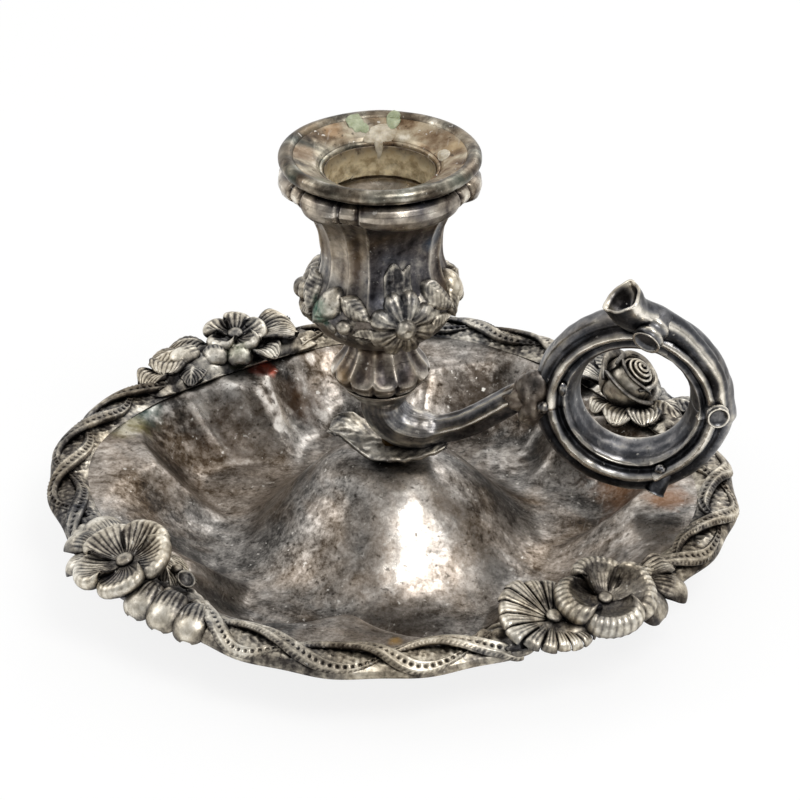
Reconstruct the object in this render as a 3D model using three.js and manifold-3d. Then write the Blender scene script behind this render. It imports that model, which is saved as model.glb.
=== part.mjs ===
// A silver chamberstick in the naturalistic taste of the mid nineteenth century.
// A lobed drip pan with a dome in its middle carries an elbow of branch. The branch holds a
// fluted candle socket above the dome and runs out to a finger ring. A border of twined vine
// and four bouquets is soldered round the rim, and a loose nozzle sits in the socket's mouth.
// Millimetres, +Z up, +X towards the finger ring, the origin under the middle of the pan.

import * as THREE from 'three';
import { mergeVertices } from 'three/addons/utils/BufferGeometryUtils.js';
import Module from 'manifold-3d';

const wasm = await Module();
wasm.setup();

// Driving dimensions: what meets what.
const GAP = 0.3; // left between two pieces that are soldered or laid on each other
const ROUND_SIDES = 24; // facets round a turned piece

// Driving dimensions: the drip pan.
const TRAY_RADIUS = 76; // axis to the outermost turn of the vine, in the middle of a side
const RIM_DIP = 4.8; // how far the rim draws in from there to the corners
const RIM_HEIGHT = 15; // table to the upper face of the pan's edge
const SHEET = 1; // thickness of the raised sheet
const LOBES = 8; // scallops of the basin
const COLUMNS_PER_LOBE = 5;
const LEDGE_WIDTH = 11; // pan edge to the scallops, less the rim's dip
const LEDGE_RISE = 1.2; // how far the ledge climbs to the pan's edge
const CUSP_DEPTH = 10; // how far a cusp points in between two scallops
const WALL_RUN = 16; // plan width of the basin's sloping wall
const FLOOR_WIDTH = 4; // flat floor between the wall and the dome, at a cusp
const DOME_HEIGHT = 21; // table to the top of the dome
const DOME_TOP_RADIUS = 7.5; // flat seat on the dome

// Driving dimensions: the vine border and the bouquets.
const VINE_HALF_WIDTH = 2.1; // of one strand, in plan
const VINE_HALF_HEIGHT = 1.3;
const VINE_SWAY = 2.5; // how far a strand swings in and out
const VINE_WEAVE = 0.6; // how far a strand climbs over and dips under the other
const VINE_WAVES = 12; // swings in a whole turn of the rim
const VINE_BED = 3; // border's outer wall below the rim
const VINE_BED_SHEET = 1.2; // thickness of the angle strip under the strands
const BOUQUET_HALF_WIDTH = 20; // along the rim
const BOUQUET_INSET = 2; // pan edge to the middle of a bouquet

// Driving dimensions: the branch and the finger ring.
const BRANCH_RADIUS = 3.2;
const BRANCH_STAND = 15.3; // dome to the underside of the socket's saucer
const BRACT_FLOOR = 2; // leaf between the dome and the elbow
const BRACT_HEIGHT = 9; // leaf that cups the elbow
const BRACT_LENGTH = 23;
const BRACT_LEAD = 5.5; // leaf beyond the elbow, towards the ring
const BRACT_WIDTH = 12;
const ARM_REACH = 30.6; // axis of the pan to the near side of the ring
const RING_BORE_RADIUS = 12; // finger hole
const RING_TUBE_RADIUS = 4.7; // half the thickness of the ring's branch
const RING_CLEARANCE = 3.2; // ring above the pan's rim
const SOLDER_RADIUS = 6.2; // lump of solder where the arm meets the ring

// Driving dimensions: the candle socket.
const SOCKET_OFFSET = -2.2; // the branch holds the socket a little off the pan's axis
const CANDLE_DIAMETER = 22;
const CANDLE_FIT = 0.4; // room round the candle in the socket
const SOCKET_WALL = 1.6; // at the narrowest part of the flutes
const SAUCER_RADIUS = 7.3;
const SAUCER_HEIGHT = 2.9;
const KNOP_RADIUS = 10.3;
const KNOP_HEIGHT = 6.8;
const NECK_RADIUS = 6.8;
const BODY_HEIGHT = 37.4;
const FLOOR_HEIGHT = 11.4; // body foot to the seat of the candle
const BELLY_SWELL = 3.1; // belly beyond the waist
const RIM_FLARE = 4.8; // rim beyond the waist
const FLUTES = 12;
const FLUTE_DEPTH = 0.5;
const COLLAR_HEIGHT = 5.5;
const COLLAR_SWELL = 3;
const GARLAND_THICKNESS = 1.8;
const GARLAND_ANGLE = 57; // first spray of flowers, degrees from +X
const GARLAND_SPRAYS = 3;
const GARLAND_LEAF_PLACE = 8; // flower's middle to a leaf's middle, round the belly

// Driving dimensions: the loose nozzle.
const SLEEVE_ROOM = 0.6; // room round the candle in the sleeve
const SLEEVE_WALL = 0.7;
const SLEEVE_PLAY = 0.7; // room round the sleeve in the socket's mouth
const SLEEVE_LENGTH = 9.5;
const FLANGE_SHEET = 0.9;
const FLANGE_RISE = 1.3; // from the throat up to the edge
const WIRE_RADIUS = 1.7; // round wire that edges the flange
const WIRE_INSET = 1.4; // wire's middle inside the widest part of the collar

// Driving dimensions: screws.
const STUD_RADIUS = 2;
const STUD_GRIP = 4; // how far a stud runs into what it is screwed to
const STUD_END = 1.5; // stud below the nut
const WASHER_RADIUS = 5.5;
const WASHER_THICKNESS = 0.8;
const NUT_RADIUS = 4.6;
const NUT_HEIGHT = 3.2;

// Sizes that follow.
const boreRadius = STUD_RADIUS + GAP;
const panRadius = TRAY_RADIUS - VINE_BED_SHEET - GAP - VINE_HALF_WIDTH * 0.5;
const lobeRadius = panRadius - LEDGE_WIDTH;
const cuspRadius = lobeRadius - CUSP_DEPTH;
const domeFoot = cuspRadius - WALL_RUN - FLOOR_WIDTH;
const ledgeHeight = RIM_HEIGHT - LEDGE_RISE;
const panSides = LOBES * COLUMNS_PER_LOBE;
const vineMiddle = TRAY_RADIUS - VINE_HALF_WIDTH - VINE_SWAY;
const vineHeight = RIM_HEIGHT + GAP + VINE_HALF_HEIGHT + VINE_WEAVE;
const bouquetRadius = panRadius - RIM_DIP - BOUQUET_INSET;
const bouquetAngle = BOUQUET_HALF_WIDTH / bouquetRadius;
const gapAngle = GAP / vineMiddle;
const borderSpan = Math.PI / 2 - 2 * (bouquetAngle + gapAngle);

const ringRadius = RING_BORE_RADIUS + RING_TUBE_RADIUS;
const ringX = ARM_REACH + RING_TUBE_RADIUS + ringRadius;
const ringZ = RIM_HEIGHT + RING_CLEARANCE + RING_TUBE_RADIUS + ringRadius;
const elbowZ = DOME_HEIGHT + GAP * 2 + BRACT_FLOOR + BRANCH_RADIUS;

const saucerFoot = DOME_HEIGHT + BRANCH_STAND;
const knopFoot = saucerFoot + SAUCER_HEIGHT + GAP;
const bodyFoot = knopFoot + KNOP_HEIGHT + GAP;
const bodyTop = bodyFoot + BODY_HEIGHT;
const candleSeat = bodyFoot + FLOOR_HEIGHT;
const collarFoot = bodyTop + GAP;
const collarTop = collarFoot + COLLAR_HEIGHT;
const flangeFoot = collarTop + GAP;

const candleRadius = CANDLE_DIAMETER / 2;
const cupRadius = candleRadius + CANDLE_FIT;
const waistRadius = cupRadius + SOCKET_WALL;
const bellyRadius = waistRadius + BELLY_SWELL;
const socketRim = waistRadius + RIM_FLARE;
const collarRadius = socketRim + COLLAR_SWELL;
const sleeveInner = candleRadius + SLEEVE_ROOM;
const sleeveOuter = sleeveInner + SLEEVE_WALL;
const mouthRadius = sleeveOuter + SLEEVE_PLAY;
const wireMiddle = collarRadius - WIRE_INSET;
const flangeEdge = wireMiddle - WIRE_RADIUS - GAP;

// Metals. Silver tarnishes brown in the pan, black on the handle and rubs bright on the ornament.
const silver = (color, roughness) => new THREE.MeshStandardMaterial({ color, roughness, metalness: 1 });
const panSilver = silver(0x8a827a, 0.42);
const ornamentSilver = silver(0xb9b2a4, 0.36);
const handleSilver = silver(0x5d5f66, 0.32);
const socketSilver = silver(0x857d74, 0.38);
const nozzleSilver = silver(0x9a8f7e, 0.45);
const solderMetal = silver(0x7d766c, 0.6);
const screwBrass = silver(0xa98a4e, 0.45);

// Helpers.
const root = new THREE.Group();

function addMesh(name, geometry, material, parent = root) {
  const mesh = new THREE.Mesh(geometry, material);
  mesh.name = name;
  parent.add(mesh);
  return mesh;
}

function toSolid(geometry) {
  const bare = geometry.clone();
  bare.deleteAttribute('normal');
  bare.deleteAttribute('uv');
  const merged = mergeVertices(bare, 1e-4);
  const corners = merged.index.array;
  const triangles = [];
  for (let i = 0; i < corners.length; i += 3) {
    const [a, b, c] = corners.slice(i, i + 3);
    if (a !== b && b !== c && c !== a) triangles.push(a, b, c);
  }
  const vertProperties = new Float32Array(merged.attributes.position.array);
  const triVerts = new Uint32Array(triangles);
  return new wasm.Manifold(new wasm.Mesh({ numProp: 3, vertProperties, triVerts }));
}

function toGeometry(solid) {
  const { vertProperties, triVerts } = solid.getMesh();
  const geometry = new THREE.BufferGeometry();
  geometry.setAttribute('position', new THREE.BufferAttribute(vertProperties, 3));
  geometry.setIndex(new THREE.BufferAttribute(triVerts, 1));
  geometry.computeVertexNormals();
  return geometry;
}

const joined = (geometries) => geometries.map(toSolid).reduce((all, next) => all.add(next));

// Turns a profile of [radius, height] about +Z. It closes on itself or ends on the axis.
function turned(profile, sides = ROUND_SIDES) {
  const points = profile.map(([radius, height]) => new THREE.Vector2(radius, height));
  return new THREE.LatheGeometry(points, sides).rotateX(Math.PI / 2);
}

// Moves every point of a turned piece to the [radius, height] that a rule gives for its angle.
function reshaped(geometry, rule) {
  const points = geometry.attributes.position;
  for (let i = 0; i < points.count; i += 1) {
    const angle = Math.atan2(points.getY(i), points.getX(i));
    const flat = Math.hypot(points.getX(i), points.getY(i));
    const [radius, height] = rule(flat, points.getZ(i), angle);
    points.setXYZ(i, radius * Math.cos(angle), radius * Math.sin(angle), height);
  }
  geometry.computeVertexNormals();
  return geometry;
}

const ring = (inner, outer, foot, top, sides) =>
  turned([[inner, foot], [outer, foot], [outer, top], [inner, top], [inner, foot]], sides);

const rod = (radius, foot, top, sides = 12) =>
  turned([[0, foot], [radius, foot], [radius, top], [0, top]], sides);

// A regular outline, stretched to its two half-lengths.
function polygon(sides, halfX, halfY = halfX) {
  const corners = [];
  for (let i = 0; i < sides; i += 1) {
    const angle = ((i + 0.5) / sides) * 2 * Math.PI;
    corners.push(new THREE.Vector2(halfX * Math.cos(angle), halfY * Math.sin(angle)));
  }
  return new THREE.Shape(corners);
}

const swept = (shape, extrudePath, steps) =>
  new THREE.ExtrudeGeometry(shape, { extrudePath, steps, bevelEnabled: false });

// A rounded lump with three half-lengths, turned by yaw about +Z and set at a place.
function lump(half, place, yaw = 0, columns = 8, rows = 4) {
  const geometry = new THREE.SphereGeometry(1, columns, rows).rotateX(Math.PI / 2);
  return geometry.scale(...half).rotateZ(yaw).translate(...place);
}

// A short tapered twig from one point to another.
function twig(from, to, rootRadius, tipRadius, sides = 6) {
  const start = new THREE.Vector3(...from);
  const along = new THREE.Vector3(...to).sub(start);
  const length = along.length();
  const turn = new THREE.Quaternion().setFromUnitVectors(new THREE.Vector3(0, 1, 0), along.normalize());
  const cone = new THREE.CylinderGeometry(tipRadius, rootRadius, length, sides);
  return cone.translate(0, length / 2, 0).applyQuaternion(turn).translate(...from);
}

// How far the rim draws in at an angle, nothing in the middle of each of the four sides.
const rimDip = (angle) => (RIM_DIP * (1 - Math.cos(4 * angle))) / 2;

// Drip pan: scalloped basin, sloping wall and central dome in one sheet of even thickness.
const smooth = (share) => share * share * (3 - 2 * share);
const bell = (share) => (1 + Math.cos(Math.PI * share)) / 2;

// Share of the way from a cusp, 0, to the middle of a scallop, 1.
function scallop(angle) {
  const turns = (angle / (2 * Math.PI)) * LOBES;
  return 2 * Math.abs(turns - Math.round(turns));
}

function basinEdge(angle) {
  const away = 1 - scallop(angle);
  return cuspRadius + CUSP_DEPTH * Math.pow(1 - away * away, 0.7);
}

// Rows of the pan from the stud's hole out to the edge, each [radius, height of upper face].
function panRows(angle) {
  const edge = basinEdge(angle);
  const wallFoot = edge - WALL_RUN;
  const rows = [[boreRadius, DOME_HEIGHT]];
  for (const share of [0, 0.25, 0.5, 0.75, 1]) {
    const radius = DOME_TOP_RADIUS + (domeFoot - DOME_TOP_RADIUS) * share;
    rows.push([radius, SHEET + (DOME_HEIGHT - SHEET) * bell(share)]);
  }
  for (const share of [0, 0.35, 0.7, 1]) {
    const height = SHEET + (ledgeHeight - SHEET) * smooth(share);
    rows.push([wallFoot + WALL_RUN * share, height]);
  }
  rows.push([panRadius - rimDip(angle), RIM_HEIGHT]);
  return rows;
}

// The pan's loop runs out along the lower face and back along the upper one.
function panSheet() {
  const outward = panRows(0).map((_, row) => [row + 1, 0]);
  const inward = outward.map(([row]) => [row, 1]).reverse();
  const loop = [...outward, ...inward, outward[0]];
  return reshaped(turned(loop, panSides), (row, side, angle) => {
    const [radius, height] = panRows(angle)[Math.round(row) - 1];
    return [radius, side > 0.5 ? height : height - SHEET];
  });
}

addMesh('drip_pan', panSheet(), panSilver);

// What the bouquets are cut back to, so that they lie on the rim and lap over the pan's edge.
// It is turned so that a corner of the pan lies along +X.
const rimDisc = rod(panRadius + GAP, 0, RIM_HEIGHT + GAP, panSides);
const rimBlock = toSolid(
  reshaped(rimDisc, (radius, height, angle) => {
    const dip = rimDip(angle + Math.PI / 4);
    return [Math.max(radius - dip, 0), height];
  }),
);

// Vine border: two strands that cross and recross on a bed that wraps over the pan's edge.
class VineStrand extends THREE.Curve {
  constructor(side) {
    super();
    this.side = side;
  }

  getPoint(share, target = new THREE.Vector3()) {
    const angle = (share - 0.5) * borderSpan;
    const middle = vineMiddle - rimDip(angle);
    const radius = middle - this.side * VINE_SWAY * Math.cos(VINE_WAVES * angle);
    const height = vineHeight + this.side * VINE_WEAVE * Math.sin(VINE_WAVES * angle);
    return target.set(radius * Math.cos(angle), radius * Math.sin(angle), height);
  }
}

class RimArc extends THREE.Curve {
  getPoint(share, target = new THREE.Vector3()) {
    const angle = (share - 0.5) * borderSpan;
    const radius = vineMiddle - rimDip(angle);
    return target.set(radius * Math.cos(angle), radius * Math.sin(angle), RIM_HEIGHT);
  }
}

// The bed is an angle strip on the pan's edge, as [out from the strands' middle, up from the rim].
function bedSection() {
  const wall = panRadius + GAP - vineMiddle;
  const outer = wall + VINE_BED_SHEET;
  const top = GAP + VINE_BED_SHEET;
  const inner = -VINE_SWAY - VINE_HALF_WIDTH / 2;
  const foot = -VINE_BED;
  const corners = [[inner, GAP], [wall, GAP], [wall, foot], [outer, foot], [outer, top], [inner, top]];
  return new THREE.Shape(corners.map(([out, up]) => new THREE.Vector2(-up, -out)));
}

const strandSection = polygon(6, VINE_HALF_HEIGHT, VINE_HALF_WIDTH);
const strands = [1, -1].map((side) => swept(strandSection, new VineStrand(side), 14));
const vineSolid = joined([...strands, swept(bedSection(), new RimArc(), 8)]);
const borderSides = { handle: 0, back: 90, left: 180, front: 270 };
for (const [side, degrees] of Object.entries(borderSides)) {
  const border = addMesh(`vine_border_${side}`, toGeometry(vineSolid), ornamentSilver);
  border.rotation.z = THREE.MathUtils.degToRad(degrees);
}

// Flowers are shallow cups with a button in the middle and a notched edge.
function flower(petals, radius, height, place, lean = 0) {
  const profile = [[0, 0], [0.7, 0], [1, 0.65], [0.35, 0.4], [0.2, 0.9], [0, 0.9]];
  const scaled = profile.map(([out, up]) => [out * radius, up * height]);
  const cup = reshaped(turned(scaled, petals * 3), (flat, up, angle) => {
    const notch = 0.78 + 0.22 * Math.sqrt(Math.abs(Math.sin((petals * angle) / 2)));
    return [flat > 0.5 * radius ? flat * notch : flat, up];
  });
  return cup.rotateY(lean).translate(...place);
}

// Each bouquet is one casting: a bed of moss with flower heads and leaves on it. Places are
// [out from the bouquet's middle, along the rim, up from the rim].
const BOUQUETS = [
  {
    name: 'bouquet_back_handle',
    degrees: 45,
    flowers: [{ petals: 6, radius: 8.5, height: 7.5, at: [-2, -3, 0.8], lean: 0.1 }],
    leaves: [[-8, 1, 0.6, 6, 3, 0.6], [-1, -13, 1, 6, 3.4, 1.4], [2, 12, 1.2, 7, 4, 1.6]],
  },
  {
    name: 'bouquet_back_left',
    degrees: 135,
    flowers: [{ petals: 5, radius: 8, height: 6.5, at: [3, -5, 2], lean: 0.15 }],
    leaves: [[2, -13, 2.6, 6, 4, 2.6], [3, 9, 1.8, 8, 4, 1.4], [-4, 2, 1.4, 7, 3, 0.4]],
  },
  {
    name: 'bouquet_front_left',
    degrees: 225,
    flowers: [{ petals: 5, radius: 10, height: 6, at: [0, 2.5, 0.8], lean: 0.25 }],
    leaves: [[2, -14, 1, 6, 5, 1.8], [-2, 14, 1.4, 6, 3, 1.2], [4, 10, 0, 5, 3.4, 2.4]],
  },
  {
    name: 'bouquet_front_handle',
    degrees: 315,
    flowers: [
      { petals: 7, radius: 9, height: 5, at: [-0.5, -8, 0.8], lean: 0.25 },
      { petals: 5, radius: 8.5, height: 7, at: [2, 3.5, 1.5], lean: 0.25 },
    ],
    leaves: [[3, 14, 0.8, 6, 4, 1.4], [5, -3, 0, 6, 4, 2.2], [-5, 10, 0.6, 6, 3, 0.8]],
  },
];

// A wedge of the rim, so that a bouquet keeps between the ends of its two borders.
function rimWedge(halfAngle) {
  const far = TRAY_RADIUS * 1.5;
  const outline = new THREE.Shape([
    new THREE.Vector2(0, 0),
    new THREE.Vector2(far * Math.cos(halfAngle), -far * Math.sin(halfAngle)),
    new THREE.Vector2(far * Math.cos(halfAngle), far * Math.sin(halfAngle)),
  ]);
  return toSolid(new THREE.ExtrudeGeometry(outline, { depth: RIM_HEIGHT * 3, bevelEnabled: false }));
}

const bouquetWedge = rimWedge(bouquetAngle);
for (const { name, degrees, flowers, leaves } of BOUQUETS) {
  const onRim = ([out, along, up]) => [bouquetRadius + out, along, RIM_HEIGHT + GAP + up];
  const pieces = [
    lump([7, BOUQUET_HALF_WIDTH, 3], onRim([0, 0, 0]), 0, 10),
    lump([3.4, BOUQUET_HALF_WIDTH * 0.75, 2.6], onRim([BOUQUET_INSET + 1.6, 0, -0.6])),
    ...flowers.map(({ petals, radius, height, at, lean }) =>
      flower(petals, radius, height, onRim(at), lean)),
    ...leaves.map(([out, along, up, length, width, yaw]) =>
      lump([length, width, 2.2], onRim([out, along, up]), yaw)),
  ];
  const casting = joined(pieces).intersect(bouquetWedge).subtract(rimBlock);
  const bouquet = addMesh(name, toGeometry(casting), ornamentSilver);
  bouquet.rotation.z = THREE.MathUtils.degToRad(degrees);
}

// Handle: an elbow of branch from the socket down to the dome and out to the ring.
function branchPath() {
  const bend = BRANCH_RADIUS * 2;
  return new THREE.CatmullRomCurve3([
    new THREE.Vector3(SOCKET_OFFSET, 0, saucerFoot - GAP),
    new THREE.Vector3(SOCKET_OFFSET, 0, saucerFoot - GAP - bend * 0.5),
    new THREE.Vector3(SOCKET_OFFSET + bend * 0.6, 0, elbowZ + 0.6),
    new THREE.Vector3(SOCKET_OFFSET + bend * 2, 0, elbowZ),
    new THREE.Vector3(ARM_REACH * 0.75, 0, elbowZ + (ringZ - elbowZ) * 0.58),
    new THREE.Vector3(ARM_REACH + RING_TUBE_RADIUS, 0, ringZ),
  ]);
}

function branch(growth) {
  return toSolid(swept(polygon(8, BRANCH_RADIUS + growth), branchPath(), 16));
}

function ringBody(growth) {
  const geometry = new THREE.TorusGeometry(ringRadius, RING_TUBE_RADIUS + growth, 8, 24);
  return toSolid(geometry.rotateX(Math.PI / 2).translate(ringX, 0, ringZ));
}

const studFoot = DOME_HEIGHT - SHEET - GAP * 2 - WASHER_THICKNESS - NUT_HEIGHT - STUD_END;
const studTop = elbowZ - BRANCH_RADIUS + STUD_GRIP;
const panDrill = toSolid(rod(boreRadius, studFoot, studTop + GAP, 16));
const socketStudFoot = saucerFoot - GAP - STUD_GRIP;
const socketStudTop = bodyFoot + STUD_GRIP;
const socketDrill = toSolid(
  rod(boreRadius, socketStudFoot - GAP, socketStudTop + GAP, 16).translate(SOCKET_OFFSET, 0, 0),
);

const armSolid = branch(0).subtract(ringBody(GAP)).subtract(panDrill).subtract(socketDrill);
addMesh('handle_branch', toGeometry(armSolid), handleSilver);

// Bract: a leaf that cups the elbow and points away from the ring.
const bractX = SOCKET_OFFSET + BRANCH_RADIUS * 2 + BRACT_LEAD - BRACT_LENGTH / 2;
const bractPlace = [bractX, 0, DOME_HEIGHT + BRACT_HEIGHT / 2];
const bractLump = lump([BRACT_LENGTH / 2, BRACT_WIDTH / 2, BRACT_HEIGHT / 2], bractPlace, 0, 10, 6);
const domeBlock = toSolid(rod(BRACT_LENGTH, 0, DOME_HEIGHT + GAP));
const bractSolid = toSolid(bractLump).subtract(branch(GAP)).subtract(panDrill).subtract(domeBlock);
addMesh('bract_leaf', toGeometry(bractSolid), handleSilver);

// Finger ring: one branch bent round on itself, with its cut end and the stubs of its twigs.
const outOfRing = (degrees, radius, y) => {
  const angle = THREE.MathUtils.degToRad(degrees);
  return [ringX + radius * Math.cos(angle), y, ringZ + radius * Math.sin(angle)];
};
const ringOuter = ringRadius + RING_TUBE_RADIUS;
const ringFace = -RING_TUBE_RADIUS;
const twigs = [
  twig(outOfRing(70, ringRadius + 1, 0), outOfRing(100, ringOuter + 4.6, -1), 4, 3.2),
  twig(outOfRing(80, ringRadius - 0.5, 0), outOfRing(80, ringRadius - 1.5, ringFace - 2), 2.6, 2.2),
  twig(outOfRing(352, ringRadius + 1, 0), outOfRing(352, ringRadius + 2.5, ringFace - 1.6), 2.4, 2),
  twig(outOfRing(285, ringRadius, 0), outOfRing(285, ringOuter + 1.8, -1), 3, 1.2),
  twig(outOfRing(195, ringRadius, 0), outOfRing(195, ringRadius + 1, ringFace - 1.2), 2.2, 1.8),
];
const ringSolid = twigs.map(toSolid).reduce((all, next) => all.add(next), ringBody(0));
addMesh('ring_handle', toGeometry(ringSolid), handleSilver);

// Solder: the old lump that runs round the arm's end and onto the ring.
const solderPlace = [ARM_REACH - 1.2, 0, ringZ - 0.8];
const solderHalf = [SOLDER_RADIUS * 0.62, SOLDER_RADIUS * 0.85, SOLDER_RADIUS];
const solderLump = lump(solderHalf, solderPlace, 0, 8, 6);
const solderSolid = toSolid(solderLump).subtract(branch(GAP)).subtract(ringBody(GAP));
addMesh('solder_joint', toGeometry(solderSolid), solderMetal);

// Fixing under the dome: stud, washer and nut.
const washerFoot = DOME_HEIGHT - SHEET - GAP - WASHER_THICKNESS;
const nutFoot = washerFoot - GAP - NUT_HEIGHT;
addMesh('pan_stud', rod(STUD_RADIUS, studFoot, studTop), screwBrass);
const washerTop = washerFoot + WASHER_THICKNESS;
addMesh('pan_washer', ring(boreRadius, WASHER_RADIUS, washerFoot, washerTop, 16), screwBrass);
const nutSolid = toSolid(rod(NUT_RADIUS, nutFoot, nutFoot + NUT_HEIGHT, 6)).subtract(panDrill);
addMesh('pan_nut', toGeometry(nutSolid), screwBrass);

// Candle socket: saucer, knop, fluted body and collar on one stud.
const socket = new THREE.Group();
socket.position.x = SOCKET_OFFSET;
root.add(socket);

const saucerProfile = [
  [boreRadius, saucerFoot],
  [SAUCER_RADIUS * 0.55, saucerFoot],
  [SAUCER_RADIUS, saucerFoot + SAUCER_HEIGHT * 0.7],
  [SAUCER_RADIUS * 0.95, saucerFoot + SAUCER_HEIGHT],
  [boreRadius, saucerFoot + SAUCER_HEIGHT],
  [boreRadius, saucerFoot],
];
addMesh('socket_saucer', turned(saucerProfile), socketSilver, socket);

// Presses flutes into a turned piece, between two heights and outside a radius.
function fluted(geometry, count, depth, foot, top, outside) {
  return reshaped(geometry, (radius, height, angle) => {
    const inBand = height > foot && height < top && radius > outside;
    const press = (depth * (1 - Math.cos(count * angle))) / 2;
    return [inBand ? radius - press : radius, height];
  });
}

const knopProfile = [
  [boreRadius, 0],
  [SAUCER_RADIUS * 0.9, 0],
  [KNOP_RADIUS, KNOP_HEIGHT * 0.3],
  [KNOP_RADIUS * 0.97, KNOP_HEIGHT * 0.55],
  [KNOP_RADIUS * 0.82, KNOP_HEIGHT * 0.8],
  [NECK_RADIUS, KNOP_HEIGHT],
  [boreRadius, KNOP_HEIGHT],
  [boreRadius, 0],
].map(([radius, up]) => [radius, knopFoot + up]);
const knopTurned = turned(knopProfile);
const knopBand = [knopFoot, knopFoot + KNOP_HEIGHT, boreRadius + GAP];
addMesh('socket_knop', fluted(knopTurned, FLUTES, FLUTE_DEPTH, ...knopBand), socketSilver, socket);

// Outer wall of the body as [radius, share of its height], foot to rim.
const bodyWall = [
  [NECK_RADIUS, 0],
  [NECK_RADIUS + 0.2, 0.05],
  [bellyRadius * 0.62, 0.11],
  [bellyRadius * 0.9, 0.22],
  [bellyRadius, 0.36],
  [bellyRadius * 0.95, 0.45],
  [waistRadius + 0.5, 0.55],
  [waistRadius, 0.63],
  [waistRadius + RIM_FLARE * 0.12, 0.74],
  [waistRadius + RIM_FLARE * 0.42, 0.87],
  [waistRadius + RIM_FLARE * 0.9, 0.96],
  [socketRim, 1],
].map(([radius, share]) => [radius, bodyFoot + BODY_HEIGHT * share]);
const sleeveFoot = flangeFoot + FLANGE_SHEET - SLEEVE_LENGTH;
const mouthFoot = sleeveFoot - GAP * 3;
const bodyProfile = [
  [0, socketStudTop + GAP],
  [boreRadius, socketStudTop + GAP],
  [boreRadius, bodyFoot],
  ...bodyWall,
  [mouthRadius, bodyTop],
  [mouthRadius, mouthFoot],
  [cupRadius, mouthFoot - 2 * (mouthRadius - cupRadius)],
  [cupRadius, candleSeat],
  [0, candleSeat],
];
const fluteFoot = bodyFoot + BODY_HEIGHT * 0.5;
const fluteTop = bodyFoot + BODY_HEIGHT * 0.94;
const bodyTurned = turned(bodyProfile);
const bodyBand = [fluteFoot, fluteTop, mouthRadius - SLEEVE_PLAY];
const bodyGeometry = fluted(bodyTurned, FLUTES, FLUTE_DEPTH, ...bodyBand);
addMesh('socket_body', bodyGeometry, socketSilver, socket);

const collarProfile = [
  [mouthRadius + GAP, 0],
  [socketRim, 0],
  [collarRadius - COLLAR_SWELL * 0.25, 0.24],
  [collarRadius, 0.52],
  [collarRadius - COLLAR_SWELL * 0.3, 0.86],
  [collarRadius - COLLAR_SWELL * 0.65, 1],
  [mouthRadius + GAP, 1],
  [mouthRadius + GAP, 0],
].map(([radius, share]) => [radius, collarFoot + COLLAR_HEIGHT * share]);
addMesh('socket_collar', turned(collarProfile), socketSilver, socket);
addMesh('socket_stud', rod(STUD_RADIUS, socketStudFoot, socketStudTop), screwBrass, socket);

// Garland: sprays of a flower between two leaves, soldered round the belly.
const bellyHeight = bodyFoot + BODY_HEIGHT * 0.36;
const roomWall = bodyWall.map(([radius, height]) => [radius + GAP, height]);
const bellyRoom = toSolid(turned([[0, bodyFoot], ...roomWall, [0, bodyTop]]));
function garlandSpray() {
  const onBelly = (along, up) => {
    const angle = along / bellyRadius;
    return [bellyRadius * Math.cos(angle), bellyRadius * Math.sin(angle), bellyHeight + up];
  };
  const thickness = GARLAND_THICKNESS;
  const head = flower(5, 6, thickness * 1.6, [0, 0, 0]);
  head.rotateY(Math.PI / 2).translate(...onBelly(0, 0));
  const bed = lump([thickness * 0.7, 5, 3.6], onBelly(0, 0));
  const leaves = [-1, 1].map((side) => {
    const along = side * GARLAND_LEAF_PLACE;
    return lump([thickness * 0.8, 4.8, 3.2], onBelly(along, 1), along / bellyRadius);
  });
  return joined([head, bed, ...leaves]).subtract(bellyRoom);
}
const spraySolid = garlandSpray();
for (let i = 0; i < GARLAND_SPRAYS; i += 1) {
  const degrees = GARLAND_ANGLE + (360 / GARLAND_SPRAYS) * i;
  const spray = addMesh(`garland_spray_${i + 1}`, toGeometry(spraySolid), ornamentSilver, socket);
  spray.rotation.z = THREE.MathUtils.degToRad(degrees);
}

// Loose nozzle: sleeve, dished flange and its edge wire.
const throat = sleeveOuter + GAP;
const flangeProfile = [
  [throat, flangeFoot],
  [throat + 2, flangeFoot],
  [flangeEdge, flangeFoot + FLANGE_RISE],
  [flangeEdge, flangeFoot + FLANGE_RISE + FLANGE_SHEET],
  [throat + 1.6, flangeFoot + FLANGE_SHEET * 1.2],
  [throat, flangeFoot + FLANGE_SHEET],
  [throat, flangeFoot],
];
addMesh('nozzle_flange', turned(flangeProfile), nozzleSilver, socket);
const sleeveTop = sleeveFoot + SLEEVE_LENGTH;
const sleeveGeometry = ring(sleeveInner, sleeveOuter, sleeveFoot, sleeveTop);
addMesh('nozzle_sleeve', sleeveGeometry, nozzleSilver, socket);
const wireGeometry = new THREE.TorusGeometry(wireMiddle, WIRE_RADIUS, 6, ROUND_SIDES);
const wireHeight = flangeFoot + FLANGE_RISE + FLANGE_SHEET / 2;
addMesh('nozzle_edge_wire', wireGeometry.translate(0, 0, wireHeight), nozzleSilver, socket);

export default root;
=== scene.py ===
# %% [markdown]
# # A tarnished silver chamberstick
# A chamberstick is the candlestick that was carried to bed: a drip pan, one candle socket and a
# ring for a finger. This one is silver in the naturalistic taste, with a twined vine and bouquets
# round the pan's rim. The CAD model fixes where every piece is. Here each piece is shaped again
# with the detail a silversmith gave it, and the tarnish and wear of a long life are laid on it.

# %% Load the frame
import math
from collections import namedtuple

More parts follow.
